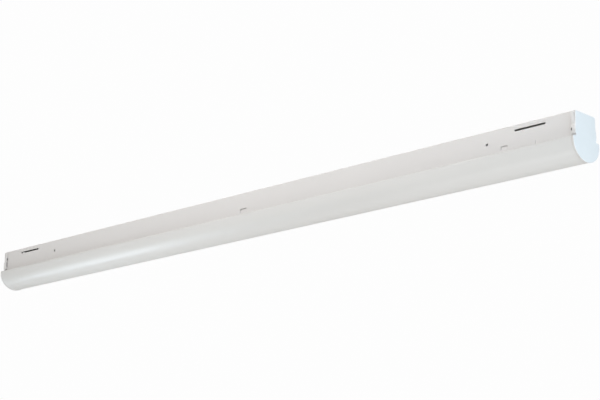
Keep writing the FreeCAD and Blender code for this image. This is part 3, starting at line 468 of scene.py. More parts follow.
SMALL_SPANGLE = Gloss(Pattern.CRYSTALS, 1500.0, 0.08, 0.1)
CHANNEL_PAINT = PowderCoat("White powder coat", "channel_paint", (0.735, 0.722, 0.715), 0.46)
TRAY_PAINT = PowderCoat("Reflective white paint", "tray_paint", (0.84, 0.84, 0.83), 0.55, dust=0.05)
FLOOR_PAINT = PowderCoat("Pale floor", "channel_paint", (0.82, 0.82, 0.81), 0.7, dust=0.0,
                         relief=Relief(Pattern.HEIGHT, 850.0, 0.03 * MM, 0.0))
CAP_PLASTIC = Moulding("White end plastic", "cap_plastic", (0.755, 0.75, 0.745), 0.42)
LENS_ACRYLIC = FrostedAcrylic("Frosted acrylic", "lens_acrylic", (0.71, 0.71, 0.70), 0.36)
BOARD_LACQUER = SolderMask("White board lacquer", "board_white", (0.84, 0.85, 0.82), 0.38)
LED_BODY = Moulding("White LED body", "led_phosphor", (0.86, 0.86, 0.83), 0.35, dust=0.0)
LED_PHOSPHOR = Moulding("Yellow phosphor", "led_phosphor", (0.92, 0.66, 0.10), 0.3, dust=0.0)
CONNECTOR_PLASTIC = Moulding("Natural connector plastic", "connector_plastic", (0.82, 0.79, 0.71), 0.4)
CLIP_PLASTIC = Moulding("Natural clip nylon", "connector_plastic", (0.80, 0.79, 0.74), 0.45)
ZINC = PlatedSteel("Zinc-plated screws", "zinc_steel", (0.62, 0.63, 0.64), 0.32, gloss=SMALL_SPANGLE)
DRIVER_METAL = PlatedSteel("Galvanised driver can", "driver_metal", (0.60, 0.61, 0.62), 0.38)
POTTING = Moulding("Black potting", "potting", (0.02, 0.02, 0.02), 0.3,
                   relief=Relief(Pattern.HEIGHT, 1600.0, 0.015 * MM, 0.9))
BUSHING_PLASTIC = Moulding("Black bushing plastic", "black_plastic", (0.018, 0.018, 0.019), 0.45)
GROMMET_RUBBER = Moulding("Black grommet rubber", "grommet_rubber", (0.014, 0.014, 0.014), 0.62)
GROUND_GREEN = PlatedSteel("Green ground screw", "ground_green", (0.04, 0.25, 0.10), 0.34,
                           gloss=SMALL_SPANGLE)
TINNED_COPPER = PlatedSteel("Tinned copper", "tinned_copper", (0.66, 0.65, 0.62), 0.28,
                            gloss=Gloss(Pattern.CRYSTALS, 900.0, 0.08, 0.1))
SOCKET_GREY = Moulding("Grey disconnect plastic", "disconnect_grey", (0.32, 0.34, 0.36), 0.42)
SHEATHINGS: dict[str, Finish] = {
    colour: Sheathing(f"{colour.title()} insulation", f"insulation_{colour}", shade, 0.38)
    for colour, shade in {
        "black": (0.016, 0.016, 0.017),
        "white": (0.72, 0.72, 0.69),
        "red": (0.42, 0.014, 0.012),
        "blue": (0.012, 0.045, 0.27),
        "violet": (0.115, 0.022, 0.20),
        "pink": (0.72, 0.20, 0.28),
        "green": (0.012, 0.16, 0.035),
    }.items()
}


class Shading(Enum):
    """How far neighbouring faces may turn and still be shaded as one, in degrees."""

    SHEET = 25.0
    MOULDED = 35.0
    ROUND = 40.0
    POURED = 50.0


class Bench:
    """Modelling tools: each starts or shapes one mesh object with Blender's operators."""

    @staticmethod
    def clear() -> None:
        """Leaves edit mode and deselects everything."""
        if bpy.context.object and bpy.context.object.mode != "OBJECT":
            bpy.ops.object.mode_set(mode="OBJECT")
        bpy.ops.object.select_all(action="DESELECT")

    @staticmethod
    def take(piece: Piece) -> None:
        """Makes one piece the only selected and the active one.

        Args:
            piece: The piece.
        """
        Bench.clear()
        piece.select_set(True)
        bpy.context.view_layer.objects.active = piece

    @staticmethod
    def open_all(piece: Piece) -> None:
        """Opens a piece in edit mode with all of it selected.

        Args:
            piece: The piece.
        """
        Bench.take(piece)
        bpy.ops.object.mode_set(mode="EDIT")
        bpy.ops.mesh.select_mode(type="VERT")
        bpy.ops.mesh.select_all(action="SELECT")

    @staticmethod
    def add(name: str, operator: Callable[..., object], scale: Sequence[float] = (1.0, 1.0, 1.0),
            **options: object) -> Piece:
        """Adds a plain shape, with its place in its mesh.

        Args:
            name: The shape's name.
            operator: The operator that adds it.
            scale: How much it is stretched along each axis.
            options: The operator's options.

        Returns:
            The new piece.
        """
        Bench.clear()
        operator(**options)
        piece = bpy.context.object
        piece.name = name
        piece.scale = scale
        bpy.ops.object.transform_apply(location=True, rotation=True, scale=True)
        return piece

    @staticmethod
    def apply(piece: Piece, kind: str, **settings: object) -> Piece:
        """Shapes a piece with one modifier.

        Args:
            piece: The piece.
            kind: The modifier's type.
            settings: Its properties.

        Returns:
            The piece.
        """
        Bench.take(piece)
        modifier = piece.modifiers.new(kind.title(), kind)
        for label, value in settings.items():
            setattr(modifier, label, value)
        bpy.ops.object.modifier_apply(modifier=modifier.name)
        return piece

    @staticmethod
    def block(name: str, low: Sequence[float], high: Sequence[float]) -> Piece:
        """Adds a block between two corners.

        Args:
            name: The block's name.
            low: The lowest corner.
            high: The highest corner.

        Returns:
            The block.
        """
        low, high = Vector(low), Vector(high)
        return Bench.add(name, bpy.ops.mesh.primitive_cube_add, high - low, size=1.0,
                         location=(low + high) / 2)

    @staticmethod
    def cylinder(name: str, start: Sequence[float], end: Sequence[float], radius: float,
                 sides: int = 24) -> Piece:
        """Adds a cylinder from one point to another.

        Args:
            name: The cylinder's name.
            start: The middle of its first end.
            end: The middle of its other end.
            radius: Its radius.
            sides: The number of its sides.

        Returns:
            The cylinder.
        """
        start, end = Vector(start), Vector(end)
        return Bench.add(name, bpy.ops.mesh.primitive_cylinder_add, vertices=sides, radius=radius,
                         depth=(end - start).length, location=(start + end) / 2,
                         rotation=(end - start).to_track_quat("Z", "Y").to_euler())

    @staticmethod
    def twin(piece: Piece, name: str, move: Matrix = Matrix()) -> Piece:
        """Copies a piece with a mesh of its own.

        Args:
            piece: The piece.
            name: The copy's name.
            move: Where the copy goes, from where the piece stands.

        Returns:
            The copy.
        """
        twin = bpy.data.objects.new(name, piece.data.copy())
        twin.data.transform(move)
        bpy.context.scene.collection.objects.link(twin)
        return twin

    @staticmethod
    def copy_of(node: str, name: str) -> Piece:
        """Copies a CAD node's shape, with its flat faces joined.

        Args:
            node: The CAD node.
            name: The new piece's name.

        Returns:
            The copy, ready to be shaped.
        """
        piece = Bench.twin(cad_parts[node], name)
        piece.data.materials.clear()
        Bench.open_all(piece)
        bpy.ops.mesh.remove_doubles(threshold=2 * SAME)
        bpy.ops.mesh.dissolve_limited(angle_limit=FLAT_ANGLE)
        bpy.ops.object.mode_set(mode="OBJECT")
        if "custom_normal" in piece.data.attributes:
            piece.data.attributes.remove(piece.data.attributes["custom_normal"])
        return piece

    @staticmethod
    def lies_at(axis: int, level: float) -> EdgeTest:
        """Makes a test for edges that lie at one level along an axis."""
        return lambda edge: all(abs(vertex.co[axis] - level) < NEAR for vertex in edge.verts)

    @staticmethod
    def pick(piece: Piece, kind: str, test: FaceTest | EdgeTest) -> None:
        """Opens a piece in edit mode with the faces or edges selected that pass a test.

        Args:
            piece: The piece.
            kind: FACE or EDGE.
            test: The test.
        """
        Bench.take(piece)
        bpy.ops.object.mode_set(mode="EDIT")
        bpy.ops.mesh.select_mode(type=kind)
        bpy.ops.mesh.select_all(action="DESELECT")
        mesh = bmesh.from_edit_mesh(piece.data)
        for part in [part for part in (mesh.faces if kind == "FACE" else mesh.edges) if test(part)]:
            part.select_set(True)
        bmesh.update_edit_mesh(piece.data)

    @staticmethod
    def round_off(piece: Piece, test: EdgeTest, width: float, segments: int = 3) -> None:
        """Rounds the edges that pass a test.

        Args:
            piece: The piece.
            test: The test.
            width: How much of an edge is taken off.
            segments: The faces of each rounding.
        """
        Bench.pick(piece, "EDGE", test)
        bpy.ops.mesh.bevel(offset=width, segments=segments, affect="EDGES", clamp_overlap=True)
        bpy.ops.object.mode_set(mode="OBJECT")

    @staticmethod
    def sink(piece: Piece, test: FaceTest, border: float, depth: float) -> None:
        """Presses in the faces that pass a test, inside a sloping border.

        Args:
            piece: The piece.
            test: The test.
            border: The border's width.
            depth: How far the faces go down.
        """
        Bench.pick(piece, "FACE", test)
        bpy.ops.mesh.inset(thickness=border, depth=0.0)
        bpy.ops.transform.translate(value=(0, 0, -depth))
        bpy.ops.object.mode_set(mode="OBJECT")

    @staticmethod
    def bevel_sharp(piece: Piece, width: float, segments: int = 1, least_angle: float = 60.0) -> Piece:
        """Rounds every edge that turns by more than an angle."""
        return Bench.apply(piece, "BEVEL", width=width, segments=segments, limit_method="ANGLE",
                           angle_limit=math.radians(least_angle))

    @staticmethod
    def smooth(piece: Piece, shading: Shading) -> Piece:
        """Shades a piece smooth over all but its sharp edges.

        Args:
            piece: The piece.
            shading: Which edges count as sharp.

        Returns:
            The piece.
        """
        Bench.take(piece)
        bpy.ops.object.shade_smooth_by_angle(angle=math.radians(shading.value))
        return piece

    @staticmethod
    def ease(piece: Piece, width: float, segments: int = 1, least_angle: float = 60.0,
             shading: Shading = Shading.SHEET) -> Piece:
        """Rounds a piece's sharp edges and shades it smooth."""
        return Bench.smooth(Bench.bevel_sharp(piece, width, segments, least_angle), shading)

    @staticmethod
    def carve(piece: Piece, cutter: Piece) -> None:
        """Cuts another piece out of a piece, and deletes it."""
        Bench.apply(piece, "BOOLEAN", operation="DIFFERENCE", solver="EXACT", object=cutter)
        bpy.data.objects.remove(cutter)

    @staticmethod
    def join(name: str, pieces: Sequence[Piece]) -> Piece:
        """Joins pieces into the first one.

        Args:
            name: The joined piece's name.
            pieces: The pieces, two or more.

        Returns:
            The joined piece.
        """
        Bench.take(pieces[0])
        for piece in pieces:
            piece.select_set(True)
        bpy.ops.object.join()
        pieces[0].name = name
        return pieces[0]

    @staticmethod
    def repeat(piece: Piece, count: int, step: float) -> Piece:
        """Repeats a piece in a row along the light."""
        return Bench.apply(piece, "ARRAY", count=count, use_relative_offset=False,
                           use_constant_offset=True, constant_offset_displace=(step, 0, 0))

    @staticmethod
    def copies(name: str, piece: Piece, moves: Sequence[Matrix]) -> Piece:
        """Sets copies of a piece at several places, and joins them in place of the piece.

        Args:
            name: The joined piece's name.
            piece: The piece that is copied; it isn't kept.
            moves: Where each copy goes, from where the piece stands.

        Returns:
            The joined piece.
        """
        twins = [Bench.twin(piece, name, move) for move in moves]
        bpy.data.objects.remove(piece)
        return Bench.join(name, twins)

    @staticmethod
    def mirrored(piece: Piece, name: str) -> Piece:
        """Copies a piece to the other end of the light, with its faces turned outwards.

        Args:
            piece: The piece.
            name: The copy's name.

        Returns:
            The copy.
        """
        twin = Bench.twin(piece, name, Matrix.Diagonal((-1.0, 1.0, 1.0, 1.0)))
        Bench.open_all(twin)
        bpy.ops.mesh.flip_normals()
        bpy.ops.object.mode_set(mode="OBJECT")
        return twin

    @staticmethod
    def arc(centre: tuple[float, float], radius: float, start: float, end: float,
            steps: int = 6) -> Profile:
        """Draws an arc of a profile.

        Args:
            centre: Radius and height of the arc's centre.
            radius: The arc's own radius.
            start: Its first angle in degrees, from outwards towards up.
            end: Its last angle.
            steps: The number of stretches between its points.

        Returns:
            The points, both ends included.
        """
        turns = [math.radians(start + (end - start) * index / steps) for index in range(steps + 1)]
        return [(centre[0] + radius * math.cos(turn), centre[1] + radius * math.sin(turn))
                for turn in turns]

    @staticmethod
    def lathe(name: str, profile: Profile, centre: Sequence[float], steps: int = 28) -> Piece:
        """Turns a profile about an upright axis.

        Args:
            name: The piece's name.
            profile: Radius and height of each point; a ring's profile ends where it starts.
            centre: The point of the axis that the heights are measured from.
            steps: The number of sides.

        Returns:
            The closed piece, with its faces pointing outwards.
        """
        centre = Vector(centre)
        radius, height = profile[0]
        piece = Bench.add(name, bpy.ops.mesh.primitive_plane_add, size=0.1 * MM,
                          location=centre + Vector((radius, 0, height)))
        Bench.open_all(piece)
        bpy.ops.mesh.merge(type="CENTER")
        for next_radius, next_height in profile[1:]:
            step = (next_radius - radius, 0, next_height - height)
            bpy.ops.mesh.extrude_region_move(TRANSFORM_OT_translate={"value": step})
            radius, height = next_radius, next_height
        bpy.ops.mesh.select_all(action="SELECT")
        bpy.ops.mesh.spin(steps=steps, angle=2 * math.pi, center=centre, axis=(0, 0, 1))
        bpy.ops.mesh.select_all(action="SELECT")
        bpy.ops.mesh.remove_doubles(threshold=SAME)
        bpy.ops.mesh.normals_make_consistent(inside=False)
        bpy.ops.object.mode_set(mode="OBJECT")
        return piece


@dataclass
class SubAssembly:
    """A group of pieces that ride on one body."""

    body: Body

    def dress(self, piece: Piece, finish: Finish, *stands_for: str, body: Body | None = None) -> Piece:
        """Gives a new piece its finish and its body, and hides the CAD nodes that it stands for.

        Args:
            piece: The new piece.
            finish: Its finish, unless its faces already have materials.
            stands_for: The CAD nodes that it replaces.
            body: The body, where it isn't the sub-assembly's own.

        Returns:
            The piece.
        """
        body = body or self.body
        if not piece.data.materials:
            piece.data.materials.append(finish.make())
        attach(piece, body.value)
        if stands_for:
            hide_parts(*stands_for)
        faces = len(piece.data.polygons) if piece.type == "MESH" else 0
        log.info("%s: %s on %s, %d faces", piece.name, finish.name, body.value, faces)
        return piece

    def eased(self, node: str, name: str, finish: Finish, width: float, **options: object) -> Piece:
        """Makes a piece in a CAD node's shape with its edges eased, and dresses it."""
        return self.dress(Bench.ease(Bench.copy_of(node, name), width, **options), finish, node)


@dataclass
class Housing(SubAssembly):
    """The folded channel, with its cut edges eased."""

    body: Body = Body.CHANNEL
    edge: float = 0.10 * MM

    def build(self) -> None:
        """Makes the painted channel."""
        self.eased("channel_housing", "channel_shell", CHANNEL_PAINT, self.edge, least_angle=40.0)


@dataclass
class Lens(SubAssembly):
    """The D-shaped diffuser, spun and extruded along its outline and given its wall."""

    body: Body = Body.LENS
    wall: float = 1.8 * MM
    shoulder_r: float = 2.2 * MM
    shoulder_steps: int = 12
    side_z: float = -39.5 * MM
    side_steps: int = 10
    base_r: float = 33.0 * MM
    base_steps: int = 72
    lip_y: float = 20.8 * MM
    low: Vector = field(default_factory=lambda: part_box("lens_diffuser")[0])
    high: Vector = field(default_factory=lambda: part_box("lens_diffuser")[1])

    def outline(self, name: str) -> Piece:
        """Draws the outer face as one sheet, from the back lip down, round and up to the front lip.

        Args:
            name: The piece's name.

        Returns:
            The sheet, with its faces pointing outwards.
        """
        half = self.high.y
        top = self.high.z
        base_z = self.low.z + self.base_r
        drop = base_z - self.side_z
        side_r = (self.base_r**2 - half**2 - drop**2) / (2 * (self.base_r - half))
        side_y = half - side_r
        meet = math.atan2(drop, side_y)
        shoulder_y = half - self.shoulder_r
        shoulder_z = top - self.shoulder_r
        sheet = Bench.add(name, bpy.ops.mesh.primitive_plane_add,
                          (self.high.x - self.low.x, shoulder_y - self.lip_y, 1.0), size=1.0,
                          location=((self.low.x + self.high.x) / 2, (self.lip_y + shoulder_y) / 2, top))
        Bench.pick(sheet, "EDGE", Bench.lies_at(1, shoulder_y))

        def spin(centre_y: float, centre_z: float, angle: float, steps: int) -> None:
            """Turns the open edge about a line along the light."""
            bpy.ops.mesh.spin(steps=steps, angle=angle, center=(0, centre_y, centre_z), axis=(1, 0, 0))

        def draw(across: float, up: float) -> None:
            """Moves the open edge straight on."""
            bpy.ops.mesh.extrude_region_move(TRANSFORM_OT_translate={"value": (0, across, up)})

        spin(shoulder_y, shoulder_z, math.pi / 2, self.shoulder_steps)
        draw(0, self.side_z - shoulder_z)
        spin(side_y, self.side_z, meet, self.side_steps)
        spin(0, base_z, math.pi - 2 * meet, self.base_steps)
        spin(-side_y, self.side_z, meet, self.side_steps)
        draw(0, shoulder_z - self.side_z)
        spin(-shoulder_y, shoulder_z, math.pi / 2, self.shoulder_steps)
        draw(shoulder_y - self.lip_y, 0)
        bpy.ops.mesh.select_all(action="SELECT")
        bpy.ops.mesh.remove_doubles(threshold=SAME)
        bpy.ops.object.mode_set(mode="OBJECT")
        return sheet

    def shell(self, name: str) -> Piece:
        """Gives the outline its wall."""
        return Bench.apply(self.outline(name), "SOLIDIFY", thickness=self.wall, offset=-1.0,
                           use_even_offset=True)

    def build(self) -> None:
        """Makes the lens."""
        self.dress(Bench.smooth(self.shell("frosted_lens"), Shading.ROUND), LENS_ACRYLIC, "lens_diffuser")


@dataclass
class EndCaps(SubAssembly):
    """The two moulded end caps: a soft round border, eased edges and a bead that faces the lens."""

    body: Body = Body.CAP_RIGHT
    border: float = 1.1 * MM
    edge: float = 0.2 * MM
    face: float = 1.5 * MM
    bead: float = 1.3 * MM
    bead_root: float = 0.1 * MM

    def lens_bead(self, side: Side, outer_x: float) -> Piece:
        """Makes the D-shaped bead on a cap's inner face, which the lens grows towards when warm.

        Args:
            side: The end.
            outer_x: Where the cap's outer face is.

        Returns:
            The bead, rooted a little in the face.
        """
        root = outer_x - side.value * (self.face - self.bead_root)
        tip = outer_x - side.value * (self.face + self.bead)
        low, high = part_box("lens_diffuser")
        low.x, high.x = sorted((root, tip))
        return Lens(low=low, high=high).shell("lens_bead")

    def build(self) -> None:
        """Makes both caps."""
        for side, body in ((Side.RIGHT, Body.CAP_RIGHT), (Side.LEFT, Body.CAP_LEFT)):
            node = f"end_cap_{side.word}"
            low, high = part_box(node)
            face_x = high.x if side is Side.RIGHT else low.x
            cap = Bench.copy_of(node, f"end_moulding_{side.word}")
            Bench.round_off(cap, Bench.lies_at(0, face_x), self.border, segments=5)
            Bench.bevel_sharp(cap, self.edge, segments=2, least_angle=50.0)
            Bench.join(cap.name, [cap, self.lens_bead(side, face_x)])
            self.dress(Bench.smooth(cap, Shading.MOULDED), CAP_PLASTIC, node, body=body)


@dataclass
class Tray(SubAssembly):
    """The roll-formed gear tray and the rubber grommet in its floor."""

    body: Body = Body.TRAY
    edge: float = 0.08 * MM
    sheet: float = 0.8 * MM
    bore_r: float = 3.4 * MM
    mouth: float = 0.5 * MM
    groove_r: float = 5.0 * MM
    lip_round: float = 0.55 * MM

    def grommet(self) -> Piece:
        """Turns the grommet: a grooved ring with two round lips.

        Returns:
            The grommet.
        """
        low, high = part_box("tray_grommet")
        centre = (low + high) / 2
        lip_r = high.y - centre.y - self.lip_round
        groove = self.sheet / 2
        lip = groove + self.lip_round
        top = high.z - centre.z
        mouth_r = self.bore_r + self.mouth
        profile = [(self.bore_r, 0.0)]
        profile += Bench.arc((mouth_r, top - self.mouth), self.mouth, 180, 90)
        profile += Bench.arc((lip_r, lip), self.lip_round, 90, -90, 8)
        profile += [(self.groove_r, groove), (self.groove_r, -groove)]
        profile += Bench.arc((lip_r, -lip), self.lip_round, 90, -90, 8)
        profile += Bench.arc((mouth_r, self.mouth - top), self.mouth, -90, -180)
        return Bench.lathe("floor_grommet", profile + profile[:1], centre, 48)

    def build(self) -> None:
        """Makes the tray with eased edges, and its grommet."""
        self.eased("gear_tray", "gear_tray_panel", TRAY_PAINT, self.edge, least_angle=50.0)
        self.dress(Bench.smooth(self.grommet(), Shading.ROUND), GROMMET_RUBBER, "tray_grommet")


@dataclass(frozen=True)
class Thread:
    """The threaded shank of a screw. Crest, root and tip are shares of the pitch and of the radius."""

    radius: float
    pitch: float = 0.9 * MM
    depth: float = 0.2 * MM
    crest: float = 0.35
    root: float = 0.7
    tip: float = 0.6

    def profile(self, reach: float) -> Profile:
        """Draws the shank from the head's seat to its tip.

        Args:
            reach: Its length.

        Returns:
            Radius and height of each point, the last one on the axis.
        """
        points = [(self.radius, 0.0)]
        for turn in range(int(reach / self.pitch)):
            points += [(self.radius, (turn + self.crest) * self.pitch),
                       (self.radius - self.depth, (turn + self.root) * self.pitch)]
        return points + [(self.tip * self.radius, reach), (0.0, reach)]


@dataclass(frozen=True)
class PanScrew:
    """A cross-recessed pan head screw. Its rounding and recess are shares of the head's sizes."""

    head_r: float
    head: float
    reach: float
    thread: Thread
    rounding: float = 0.55
    recess: tuple[float, float] = (0.17, 0.62)
    recess_depth: float = 0.55

    def build(self, name: str, seat: Sequence[float], way: int) -> Piece:
        """Turns the screw and cuts its cross recess.

        Args:
            name: The screw's name.
            seat: The middle of the face under its head.
            way: 1 where the tip points up, -1 where it points down.

        Returns:
            The screw.
        """
        rounding = self.rounding * self.head
        profile = [(0.0, -self.head)]
        profile += Bench.arc((self.head_r - rounding, rounding - self.head), rounding, -90, 0)
        profile += [(self.head_r, 0.0), *self.thread.profile(self.reach)]
        screw = Bench.lathe(name, [(radius, way * height) for radius, height in profile], seat)
        seat = Vector(seat)
        crown = seat.z - way * self.head
        depth = way * self.recess_depth * self.head
        for across, along in (self.recess, self.recess[::-1]):
            half = Vector((across * self.head_r, along * self.head_r, 0))
            low, high = seat - half, seat + half
            low.z, high.z = sorted((crown - depth, crown + depth))
            Bench.carve(screw, Bench.block("recess", low, high))
        return Bench.smooth(screw, Shading.MOULDED)


@dataclass(frozen=True)
class PushInConnector:
    """A board connector: two wire entries in its inner end, and a release button over each.

    Where the pockets and the buttons start and end is measured from the inner end.
    """

    length: float = 12.0 * MM
    width: float = 6.4 * MM
    corner_r: float = 0.8 * MM
    edge: float = 0.12 * MM
    wire_pitch: float = 2.8 * MM
    wire_bore_r: float = 1.0 * MM
    wire_depth: float = 6.0 * MM
    pocket: tuple[float, float] = (4.6 * MM, 10.4 * MM)
    pocket_depth: float = 0.9 * MM
    button: tuple[float, float] = (4.75 * MM, 9.2 * MM)
    button_width: float = 1.3 * MM
    button_play: float = 0.12 * MM
    button_sink: float = 0.15 * MM
    button_root: float = 0.05 * MM

    def build(self, name: str) -> Piece:
        """Makes the connector at positive X and Y.

        Args:
            name: Its name.

        Returns:
            The connector.
        """
        low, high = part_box("board_connectors")
        near = high.x - self.length
        middle = high.y - self.width / 2
        height = (low.z + high.z) / 2
        half = self.button_width / 2
        slot = half + self.button_play
        floor = low.z + self.pocket_depth
        body = Bench.block(name, (near, middle - self.width / 2, low.z), high)
        under = Bench.lies_at(2, low.z)
        Bench.round_off(body, lambda edge: under(edge) and not Bench.lies_at(0, near)(edge),
                        self.corner_r, segments=2)
        buttons = []
        for y in (middle - self.wire_pitch / 2, middle + self.wire_pitch / 2):
            Bench.carve(body, Bench.cylinder("entry", (near - MM, y, height),
                                             (near + self.wire_depth, y, height), self.wire_bore_r))
            Bench.carve(body, Bench.block("pocket", (near + self.pocket[0], y - slot, low.z - MM),
                                          (near + self.pocket[1], y + slot, floor)))
            button = Bench.block("button", (near + self.button[0], y - half, low.z + self.button_sink),
                                 (near + self.button[1], y + half, floor + self.button_root))
            buttons.append(Bench.bevel_sharp(button, self.edge, segments=2))
        return Bench.join(name, [Bench.bevel_sharp(body, self.edge), *buttons])


@dataclass
class LightEngine(SubAssembly):
    """The boards, their LEDs, connectors and screws."""

    body: Body = Body.TRAY
    board_edge: float = 0.12 * MM
    led_count: int = 28
    frame_width: float = 0.32 * MM
    recess: float = 0.12 * MM
    window_slope: float = 0.5 * MM
    window_bulge: float = 0.036 * MM
    corner_r: float = 0.2 * MM
    connector: PushInConnector = PushInConnector()
    screw: PanScrew = PanScrew(2.6 * MM, 1.5 * MM, 3.4 * MM, Thread(1.4 * MM))
    screw_xs: tuple[float, ...] = (84.0 * MM, 240.0 * MM, 396.0 * MM, 580.0 * MM)
    screw_y: float = 6.0 * MM

    def led_row(self) -> Piece:
        """Makes the right board's row: white frames with a sunk phosphor window.

        Returns:
            The row.
        """
        low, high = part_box("led_packages_right")
        size = high.y - low.y
        pitch = (high.x - low.x - size) / (self.led_count - 1)
        led = Bench.block("led_row_right", low, (low.x + size, high.y, high.z))
        for finish in (LED_BODY, LED_PHOSPHOR):
            led.data.materials.append(finish.make())
        Bench.pick(led, "FACE", lambda face: face.normal.z < -0.9)
        bpy.ops.mesh.inset(thickness=self.frame_width, depth=0.0)
        bpy.ops.mesh.extrude_region_move(TRANSFORM_OT_translate={"value": (0, 0, self.recess)})
        led.active_material_index = 1
        bpy.ops.object.material_slot_assign()
        bpy.ops.mesh.inset(thickness=self.window_slope, depth=0.0)
        bpy.ops.transform.translate(value=(0, 0, -self.window_bulge))
        bpy.ops.object.mode_set(mode="OBJECT")
        Bench.round_off(led, lambda edge: abs(edge.verts[0].co.z - edge.verts[1].co.z) > 2 * self.recess,
                        self.corner_r, segments=2)
        return Bench.smooth(Bench.repeat(led, self.led_count, pitch), Shading.ROUND)

    def build(self) -> None:
        """Makes the boards and what they carry."""
        leds = self.led_row()
        rows = {Side.RIGHT: leds, Side.LEFT: Bench.mirrored(leds, "led_row_left")}
        for side, row in rows.items():
            board = Bench.copy_of(f"led_board_{side.word}", f"board_laminate_{side.word}")
            self.dress(Bench.bevel_sharp(board, self.board_edge), BOARD_LACQUER, f"led_board_{side.word}")
            self.dress(row, LED_BODY, f"led_packages_{side.word}")
        name = "push_in_connectors"
        across = Matrix.Translation((0, self.connector.width - 2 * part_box("board_connectors")[1].y, 0))
        moves = (Matrix(), across, Matrix.Rotation(math.pi, 4, "Z"))
        connectors = Bench.copies(name, self.connector.build(name), moves)
        self.dress(Bench.smooth(connectors, Shading.MOULDED), CONNECTOR_PLASTIC, "board_connectors")
        name = "board_fixing_screws"
        first = self.screw.build(name, (0, self.screw_y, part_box("led_board_right")[0].z), 1)
        moves = [Matrix.Translation((side.value * x, 0, 0)) for side in Side for x in self.screw_xs]
        self.dress(Bench.copies(name, first, moves), ZINC, "board_screws")


@dataclass
class Driver(SubAssembly):
    """The driver can, its potting, bushings and screws."""

    body: Body = Body.TRAY
    edge: float = 0.1 * MM
    panel_border: float = 4.0 * MM
    panel_depth: float = 0.3 * MM
    crimp_r: float = 1.6 * MM
    crimp_depth: float = 0.3 * MM
    crimp_height: float = 2.6 * MM
    crimp_count: int = 6
    potting_area: float = 0.003
    potting_sinks: tuple[tuple[float, float], ...] = ((0.6 * MM, 0.3 * MM), (1.2 * MM, 0.15 * MM))
    bushing_round: float = 0.3 * MM
    screw: PanScrew = PanScrew(3.6 * MM, 2.2 * MM, 3.2 * MM, Thread(1.9 * MM, pitch=1.1 * MM))

    def lid(self) -> Piece:
        """Makes the lid: a pressed panel on top, and dimples that crimp its skirts to the base.

        Returns:
            The lid.
        """
        low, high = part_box("driver_lid")
        lid = Bench.copy_of("driver_lid", "driver_cover")
        crown = high.z - NEAR
        Bench.sink(lid, lambda face: face.normal.z > 0.99 and face.calc_center_median().z > crown,
                   self.panel_border, self.panel_depth)
        step = (high.x - low.x) / self.crimp_count
        dimples = []
        for index in range(self.crimp_count):
            for edge_y, side in ((low.y, -1), (high.y, 1)):
                place = (low.x + (index + 0.5) * step,
                         edge_y + side * (self.crimp_r - self.crimp_depth), low.z + self.crimp_height)
                dimples.append(Bench.add("dimple", bpy.ops.mesh.primitive_uv_sphere_add, segments=16,
                                         ring_count=10, radius=self.crimp_r, location=place))
        Bench.carve(lid, Bench.join("dimples", dimples))
        return Bench.ease(lid, self.edge)

    def potting(self) -> Piece:
        """Makes the potting, sunk a little between its walls.

        Returns:
            The potting.
        """
        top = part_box("driver_potting")[1].z
        fill = Bench.copy_of("driver_potting", "poured_potting")
        for border, fall in self.potting_sinks:
            Bench.sink(fill, lambda face: face.normal.z > 0.9 and face.calc_area() > self.potting_area
                       and face.calc_center_median().z > top - MM, border, fall)
        return Bench.smooth(fill, Shading.POURED)

    def build(self) -> None:
        """Makes the driver."""
        self.eased("driver_base", "driver_trough", DRIVER_METAL, self.edge)
        self.dress(self.lid(), DRIVER_METAL, "driver_lid")
        self.dress(self.potting(), POTTING, "driver_potting")
        self.eased("driver_bushings", "lead_bushings", BUSHING_PLASTIC, self.bushing_round, segments=3,
                   shading=Shading.MOULDED)
        low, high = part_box("driver_screws")
        inset = self.screw.head_r
        place = Vector((low.x + inset, high.y - inset, high.z - self.screw.head))
        other = Vector((high.x - inset, low.y + inset, place.z))
        name = "driver_fixing_screws"
        moves = (Matrix(), Matrix.Translation(other - place))
        self.dress(Bench.copies(name, self.screw.build(name, place, -1), moves), ZINC, "driver_screws")


@dataclass(frozen=True)
class Lead:
    """One insulated lead: its node, colour, length, route in millimetres, radius and far end."""

    node: str
    colour: str
    length: float
    route: tuple[Point, ...]
    radius: float = 0.9 * MM
    far_end: str = "object"

    def build(self, fitting: Piece | None = None) -> Piece:
        """Args:
            fitting: The piece on its far end, where it has one; it is not used.

        Returns:
            The lead.
        """
        curve = bpy.data.curves.new(f"{self.node}_run", "CURVE")
        curve.dimensions = "3D"
        line = curve.splines.new("NURBS")
        line.points.add(len(self.route) - 1)
        for point, (x, y, z) in zip(line.points, self.route):
            point.co = (x * MM, y * MM, z * MM, 1.0)
        line.order_u = 3
        line.use_endpoint_u = True
        line.resolution_u = 16
        curve.bevel_depth = self.radius
        curve.bevel_resolution = 5
        curve.use_fill_caps = True
        run = bpy.data.objects.new(f"{self.node}_run", curve)
        bpy.context.scene.collection.objects.link(run)
        return run


